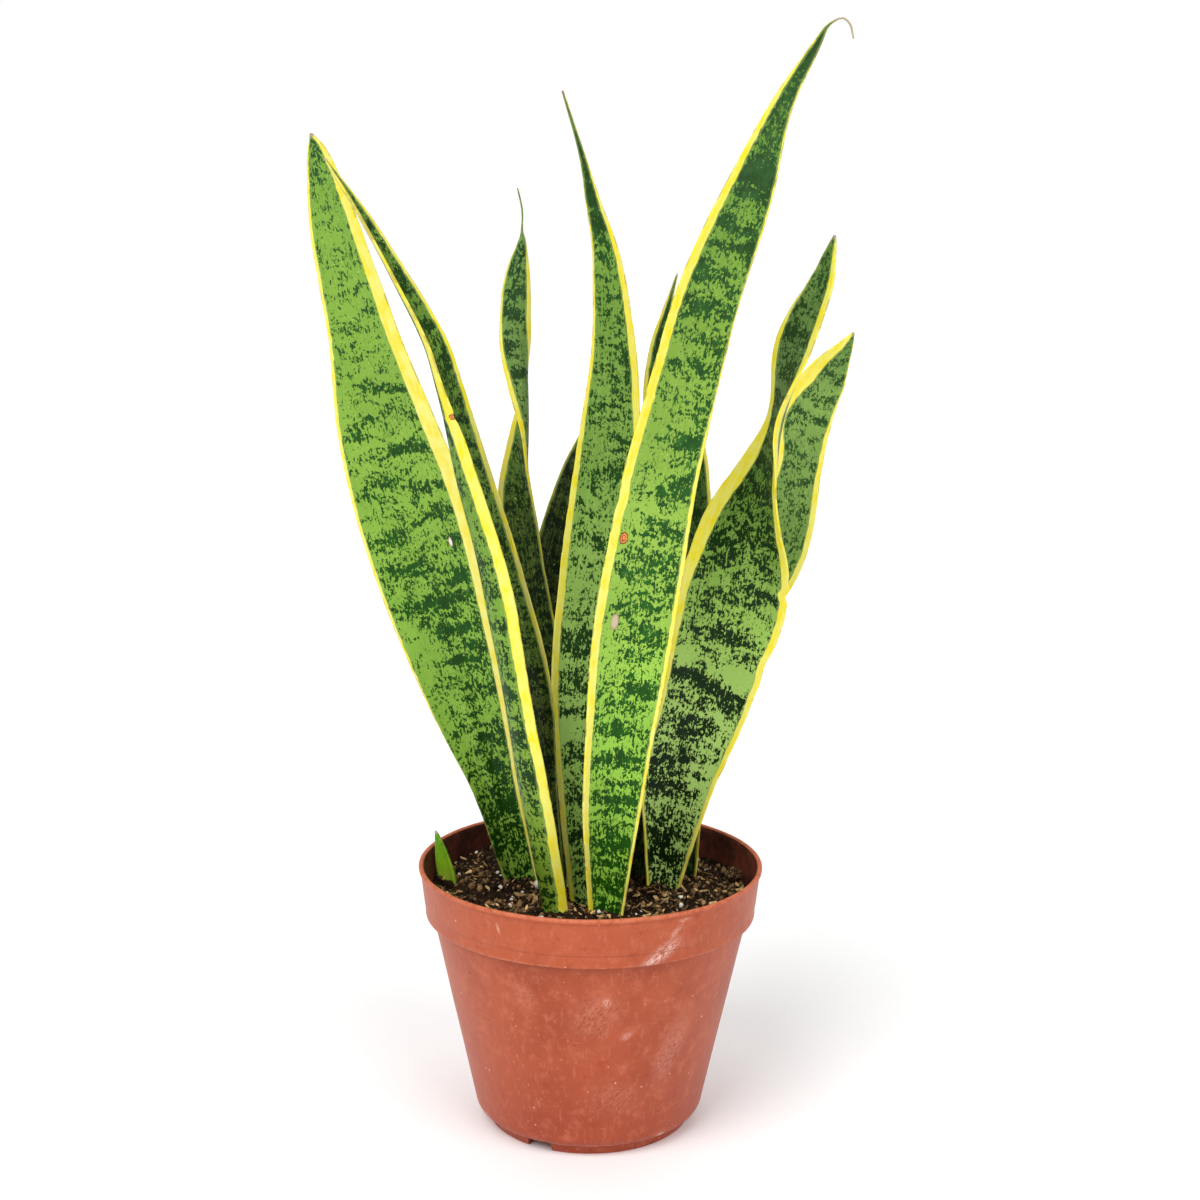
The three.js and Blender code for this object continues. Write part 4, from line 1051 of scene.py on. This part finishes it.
def soil_object():
    vertices = [(0, 0, soil_level(0, 0))]
    turns = [2 * math.pi * k / SOIL_TURNS for k in range(SOIL_TURNS)]
    edges = []
    for turn in turns:
        level = max(LOWEST_EDGE, soil_level(71 * math.cos(turn), 71 * math.sin(turn)))
        edges.append((inner_wall(level) - SOIL_GAP, level))
    for i in range(1, SOIL_RINGS + 1):
        for k, turn in enumerate(turns):
            radius = edges[k][0] * i / SOIL_RINGS
            x, y = radius * math.cos(turn), radius * math.sin(turn)
            level = edges[k][1] if i == SOIL_RINGS else soil_level(x, y)
            vertices.append((x, y, level))
    for level in SIDE_LEVELS:
        for turn in turns:
            radius = inner_wall(level) - SOIL_GAP
            vertices.append((radius * math.cos(turn), radius * math.sin(turn), level))
    for turn in turns:
        vertices.append((46.4 * math.cos(turn), 46.4 * math.sin(turn), FLOOR_TOP_Z + SOIL_GAP))
    vertices.append((0, 0, FLOOR_TOP_Z + SOIL_GAP))
    rows = SOIL_RINGS + len(SIDE_LEVELS) + 1
    faces = [(0, 1 + k, 1 + (k + 1) % SOIL_TURNS) for k in range(SOIL_TURNS)]
    for i in range(rows - 1):
        a = 1 + i * SOIL_TURNS
        b = a + SOIL_TURNS
        for k in range(SOIL_TURNS):
            n = (k + 1) % SOIL_TURNS
            faces.append((a + k, b + k, b + n, a + n))
    last = 1 + (rows - 1) * SOIL_TURNS
    faces += [(last + (k + 1) % SOIL_TURNS, last + k, len(vertices) - 1) for k in range(SOIL_TURNS)]
    made = add_mesh("soil_bed", vertices, faces)
    made.data.materials.append(soil_material("soil_skin", (16, 9, 4), (62, 42, 26), (124, 94, 60)))
    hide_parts("soil")
    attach(made, "root")


def soil_material(name, dark, mid, light):
    g = Graph(name)
    where = object_mm(g)
    coarse = g.noise(where, 0.35, 4.0, 0.65)
    grit = g.noise(where, 1.3, 4.0, 0.7)
    color = g.mix(g.step(coarse, 0.32, 0.66), dark, mid)
    color = g.over(color, g.step(grit, 0.5, 0.40), 0.9, (5, 2, 1))
    color = g.over(color, g.step(grit, 0.57, 0.68), 0.8, light)
    grains = g.cells(where, 0.62)
    color = g.over(color, g.step(grains, 0.16, 0.09), g.step(coarse, 0.48, 0.6), (190, 164, 122))
    height = g.total((grit, 1.0), (coarse, 0.8))
    return g.finish(color, g.total((grit, 0.2), (0.75, 1.0)), height, 1.6, 0.1)


def scatter(count, rng, margin=3.0, clear=4.0):
    """Places on the soil, clear of the leaves."""
    places = []
    while len(places) < count:
        turn = rng.uniform(0, 2 * math.pi)
        radius = SOIL_REACH * math.sqrt(rng.random())
        x, y = radius * math.cos(turn), radius * math.sin(turn)
        level = soil_level(x, y)
        if math.hypot(x, y) > inner_wall(level) - margin:
            continue
        if any(math.hypot(x - sx, y - sy) < clear for sx, sy in STEMS):
            continue
        places.append((x, y, level))
    return places


class Bits:
    """Many small closed bits that make one piece, each bit with a tint of its own."""

    def __init__(self):
        self.vertices = []
        self.faces = []
        self.tints = []

    def add(self, points, faces, place, spin, tint):
        base = len(self.vertices)
        for point in points:
            self.vertices.append(tuple(spin @ Vector(point) + Vector(place)))
            self.tints.append(tint)
        self.faces += [tuple(base + k for k in face) for face in faces]

    def build(self, name, material, smooth):
        made = add_mesh(name, self.vertices, self.faces, smooth)
        set_vectors(made, "bit_tint", [(tint, 0, 0) for tint in self.tints])
        made.data.materials.append(material)
        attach(made, "root")


def ball(level):
    """The points and faces of a round ball of small triangles."""
    made = bmesh.new()
    bmesh.ops.create_icosphere(made, subdivisions=level, radius=1)
    points = [tuple(v.co) for v in made.verts]
    faces = [tuple(v.index for v in f.verts) for f in made.faces]
    made.free()
    return points, faces


def lump(points, size, stretch, roughness, seed):
    """A ball's points pushed into an uneven lump."""
    shaped = []
    for point in points:
        p = Vector(point)
        push = 1 + roughness * lumps.noise(p * 1.6 + Vector((seed, 0, 0)))
        push += 0.5 * roughness * lumps.noise(p * 4.1 + Vector((0, seed, 0)))
        shaped.append(tuple(p[k] * push * size * stretch[k] for k in range(3)))
    return shaped


def any_turn(rng):
    axis = Vector((rng.gauss(0, 1), rng.gauss(0, 1), rng.gauss(0, 1))).normalized()
    return Matrix.Rotation(rng.uniform(0, 2 * math.pi), 3, axis)


def lying(rng, lean):
    """Any way round, and leaning a little from level."""
    around = Matrix.Rotation(rng.uniform(0, 2 * math.pi), 3, "Z")
    return around @ Matrix.Rotation(rng.gauss(0, lean), 3, "Y")


def hull(points):
    """The points and faces of the tightest solid round some points."""
    made = bmesh.new()
    for point in points:
        made.verts.new(point)
    bmesh.ops.convex_hull(made, input=made.verts)
    loose = [v for v in made.verts if not v.link_faces]
    bmesh.ops.delete(made, geom=loose, context="VERTS")
    made.verts.index_update()
    shape = [tuple(v.co) for v in made.verts]
    faces = [tuple(v.index for v in f.verts) for f in made.faces]
    made.free()
    return shape, faces


def chip(rng, length, width, thick):
    """A splinter of bark: the hull of points thrown into a flat, bent box."""
    points = []
    for _ in range(16):
        u, v, w = rng.uniform(-1, 1), rng.uniform(-1, 1), rng.uniform(-1, 1)
        side = v * width / 2 * (1 - 0.4 * u * u)
        points.append((u * length / 2, side, w * thick / 2 + 0.12 * length * u * u))
    return hull(points)


def fibre_tube(rng, length, thick):
    """A thin root or straw, as a bent tube with closed ends."""
    steps = 9
    sides = 5
    bend = rng.uniform(-1.2, 1.2)
    curl = rng.uniform(-0.8, 0.8)
    points = []
    for i in range(steps):
        t = i / (steps - 1) - 0.5
        centre = Vector((t * length, bend * length * t * t, curl * length * t * t * t))
        size = thick * (1 - 1.2 * t * t)
        for k in range(sides):
            turn = 2 * math.pi * k / sides
            points.append(tuple(centre + Vector((0, math.cos(turn) * size, math.sin(turn) * size))))
    faces = []
    for i in range(steps - 1):
        for k in range(sides):
            n = (k + 1) % sides
            faces.append((i * sides + k, (i + 1) * sides + k, (i + 1) * sides + n, i * sides + n))
    faces.append(tuple(range(sides)))
    faces.append(tuple((steps - 1) * sides + k for k in reversed(range(sides))))
    return points, faces


def bit_material(name, dark, light, fleck, rough):
    g = Graph(name)
    where = object_mm(g)
    tint = g.split(g.attribute("bit_tint")["Vector"])[0]
    grit = g.noise(where, 1.6, 4.0, 0.7)
    color = g.mix(tint, dark, light)
    color = g.over(color, g.step(grit, 0.5, 0.66), 0.6, fleck)
    color = g.over(color, g.step(grit, 0.46, 0.34), 0.55, g.mix(0.75, color, (14, 8, 4)))
    return g.finish(color, g.total((grit, 0.2), (rough, 1.0)), grit, 0.6, 0.12)


CRUMBS = 2600
CHIPS = 300
RIGHT_CHIPS = 420  # thrown over the whole pot, and kept only on the right
GRAINS = 85
STRAWS = 110
# A slab of old bark that stands by the wall on the right, then a few big chips: x, y, length, width,
# thickness, turn, lean, tint.
BIG_CHIPS = [(66, 15, 15, 8, 2.4, 100, 72, 0.0), (30, -43, 5.5, 4.2, 1.6, 20, 15, 0.75),
             (47, -33, 5, 3.6, 1.4, 160, 20, 1.0), (15, -38, 6.5, 4, 1.3, 120, 30, 0.55),
             (60, -20, 5.5, 3.2, 1.6, 30, 20, 0.9), (-31, -8, 7.5, 2.8, 1.4, 35, 20, 0.5),
             (-24, -18, 7, 3.6, 2.0, 100, 55, 0.8), (-41, -26, 3.6, 2.4, 1.2, 0, 10, 1.0)]
# The biggest perlite grains: x, y, radius.
BIG_GRAINS = [(-22.5, 2.5, 2.7), (-21, -36, 1.3), (-25, 24, 1.6), (-31, -42, 1.2), (2, -52, 1.4),
              (-3, -57, 1.2), (12, -55, 1.3), (28, 14, 1.3), (40, -14, 1.3)]


def litter():
    rng = random.Random(20)
    small = ball(1)
    round_ball = ball(2)

    crumbs = Bits()
    for place in scatter(CRUMBS, rng, 1.2, 2.0):
        size = 0.4 + 1.3 * rng.random() ** 2.4
        stretch = (rng.uniform(0.7, 1.3), rng.uniform(0.7, 1.3), rng.uniform(0.6, 1.0))
        shape = lump(small[0], size, stretch, 0.55, rng.uniform(0, 90))
        place = (place[0], place[1], place[2] + 0.3 * size)
        crumbs.add(shape, small[1], place, any_turn(rng), rng.random() ** 1.7)
    skin = bit_material("crumb_skin", (12, 6, 2), (146, 112, 74), (160, 128, 90), 0.75)
    crumbs.build("soil_crumbs", skin, True)

    bark = Bits()
    places = scatter(CHIPS, rng, 2.5, 3.0)
    places += [place for place in scatter(RIGHT_CHIPS, rng, 2.5, 3.0) if place[0] > 22 and place[1] < 24]
    for place in places:
        length = rng.uniform(1.6, 4.4) * (1.5 if rng.random() < 0.12 else 1)
        points, faces = chip(rng, length, length * rng.uniform(0.4, 0.8), rng.uniform(0.6, 1.3))
        lean = lying(rng, 0.45) @ Matrix.Rotation(rng.gauss(0, 0.5), 3, "X")
        bark.add(points, faces, (place[0], place[1], place[2] + 0.7), lean, rng.random())
    for x, y, length, width, thick, turn, lean, tint in BIG_CHIPS:
        points, faces = chip(rng, length, width, thick)
        spin = Matrix.Rotation(math.radians(turn), 3, "Z") @ Matrix.Rotation(math.radians(lean), 3, "Y")
        lift = 0.6 + 0.25 * length * math.sin(math.radians(lean))
        bark.add(points, faces, (x, y, soil_level(x, y) + lift), spin, tint)
    skin = bit_material("bark_skin", (62, 36, 17), (234, 190, 128), (246, 218, 166), 0.65)
    bark.build("bark_chips", skin, False)

    perlite = Bits()
    spots = [(x, y, z, rng.uniform(0.45, 1.0)) for x, y, z in scatter(GRAINS, rng, 3.0, 3.5)]
    spots += [(x, y, soil_level(x, y), size) for x, y, size in BIG_GRAINS]
    for x, y, z, size in spots:
        stretch = (rng.uniform(0.8, 1.2), rng.uniform(0.8, 1.2), rng.uniform(0.8, 1.3))
        shape = lump(round_ball[0], size, stretch, 0.6, rng.uniform(0, 90))
        perlite.add(shape, round_ball[1], (x, y, z + 0.75 * size), any_turn(rng), rng.random())
    skin = bit_material("perlite_skin", (214, 204, 186), (250, 246, 234), (226, 216, 198), 0.7)
    perlite.build("perlite_grains", skin, True)

    straws = Bits()
    for place in scatter(STRAWS, rng, 5.0, 4.0):
        points, faces = fibre_tube(rng, rng.uniform(3, 8), rng.uniform(0.14, 0.3))
        straws.add(points, faces, (place[0], place[1], place[2] + 0.9), lying(rng, 0.35), rng.random())
    skin = bit_material("straw_skin", (92, 62, 34), (186, 146, 84), (150, 112, 66), 0.6)
    straws.build("straw_fibres", skin, True)


soil_object()
litter()


# ------------------------------------------------------------------------------- rhizome


def rhizome_material():
    g = Graph("rhizome_rind")
    where = object_mm(g)
    blotch = g.noise(where, 0.12, 3.0, 0.6)
    fine = g.noise(where, 0.8, 3.0, 0.6)
    color = g.mix(g.step(blotch, 0.35, 0.65), (206, 150, 86), (170, 108, 52))
    color = g.over(color, g.step(fine, 0.55, 0.7), 0.6, (110, 66, 34))
    return g.finish(color, g.total((fine, 0.2), (0.55, 1.0)), fine, 0.4, 0.4)


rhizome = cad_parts["rhizome"]
rind = rhizome_material()
if not rhizome.material_slots:
    rhizome.data.materials.append(rind)
for slot in rhizome.material_slots:
    slot.material = rind


# ------------------------------------------------------------------------------- floor


FLOOR_REACH = 9000


def floor_object():
    reach = FLOOR_REACH
    corner_points = [(-reach, -reach, 0), (reach, -reach, 0), (reach, reach, 0), (-reach, reach, 0)]
    made = add_mesh("floor", corner_points, [(0, 1, 2, 3)], False)
    g = Graph("floor_paper")
    where = object_mm(g)
    tooth = g.noise(where, 0.2, 3.0, 0.6)
    color = g.mix(tooth, (250, 250, 250), (254, 254, 254))
    made.data.materials.append(g.finish(color, 0.9, tooth, 0.02, 0.1))


floor_object()
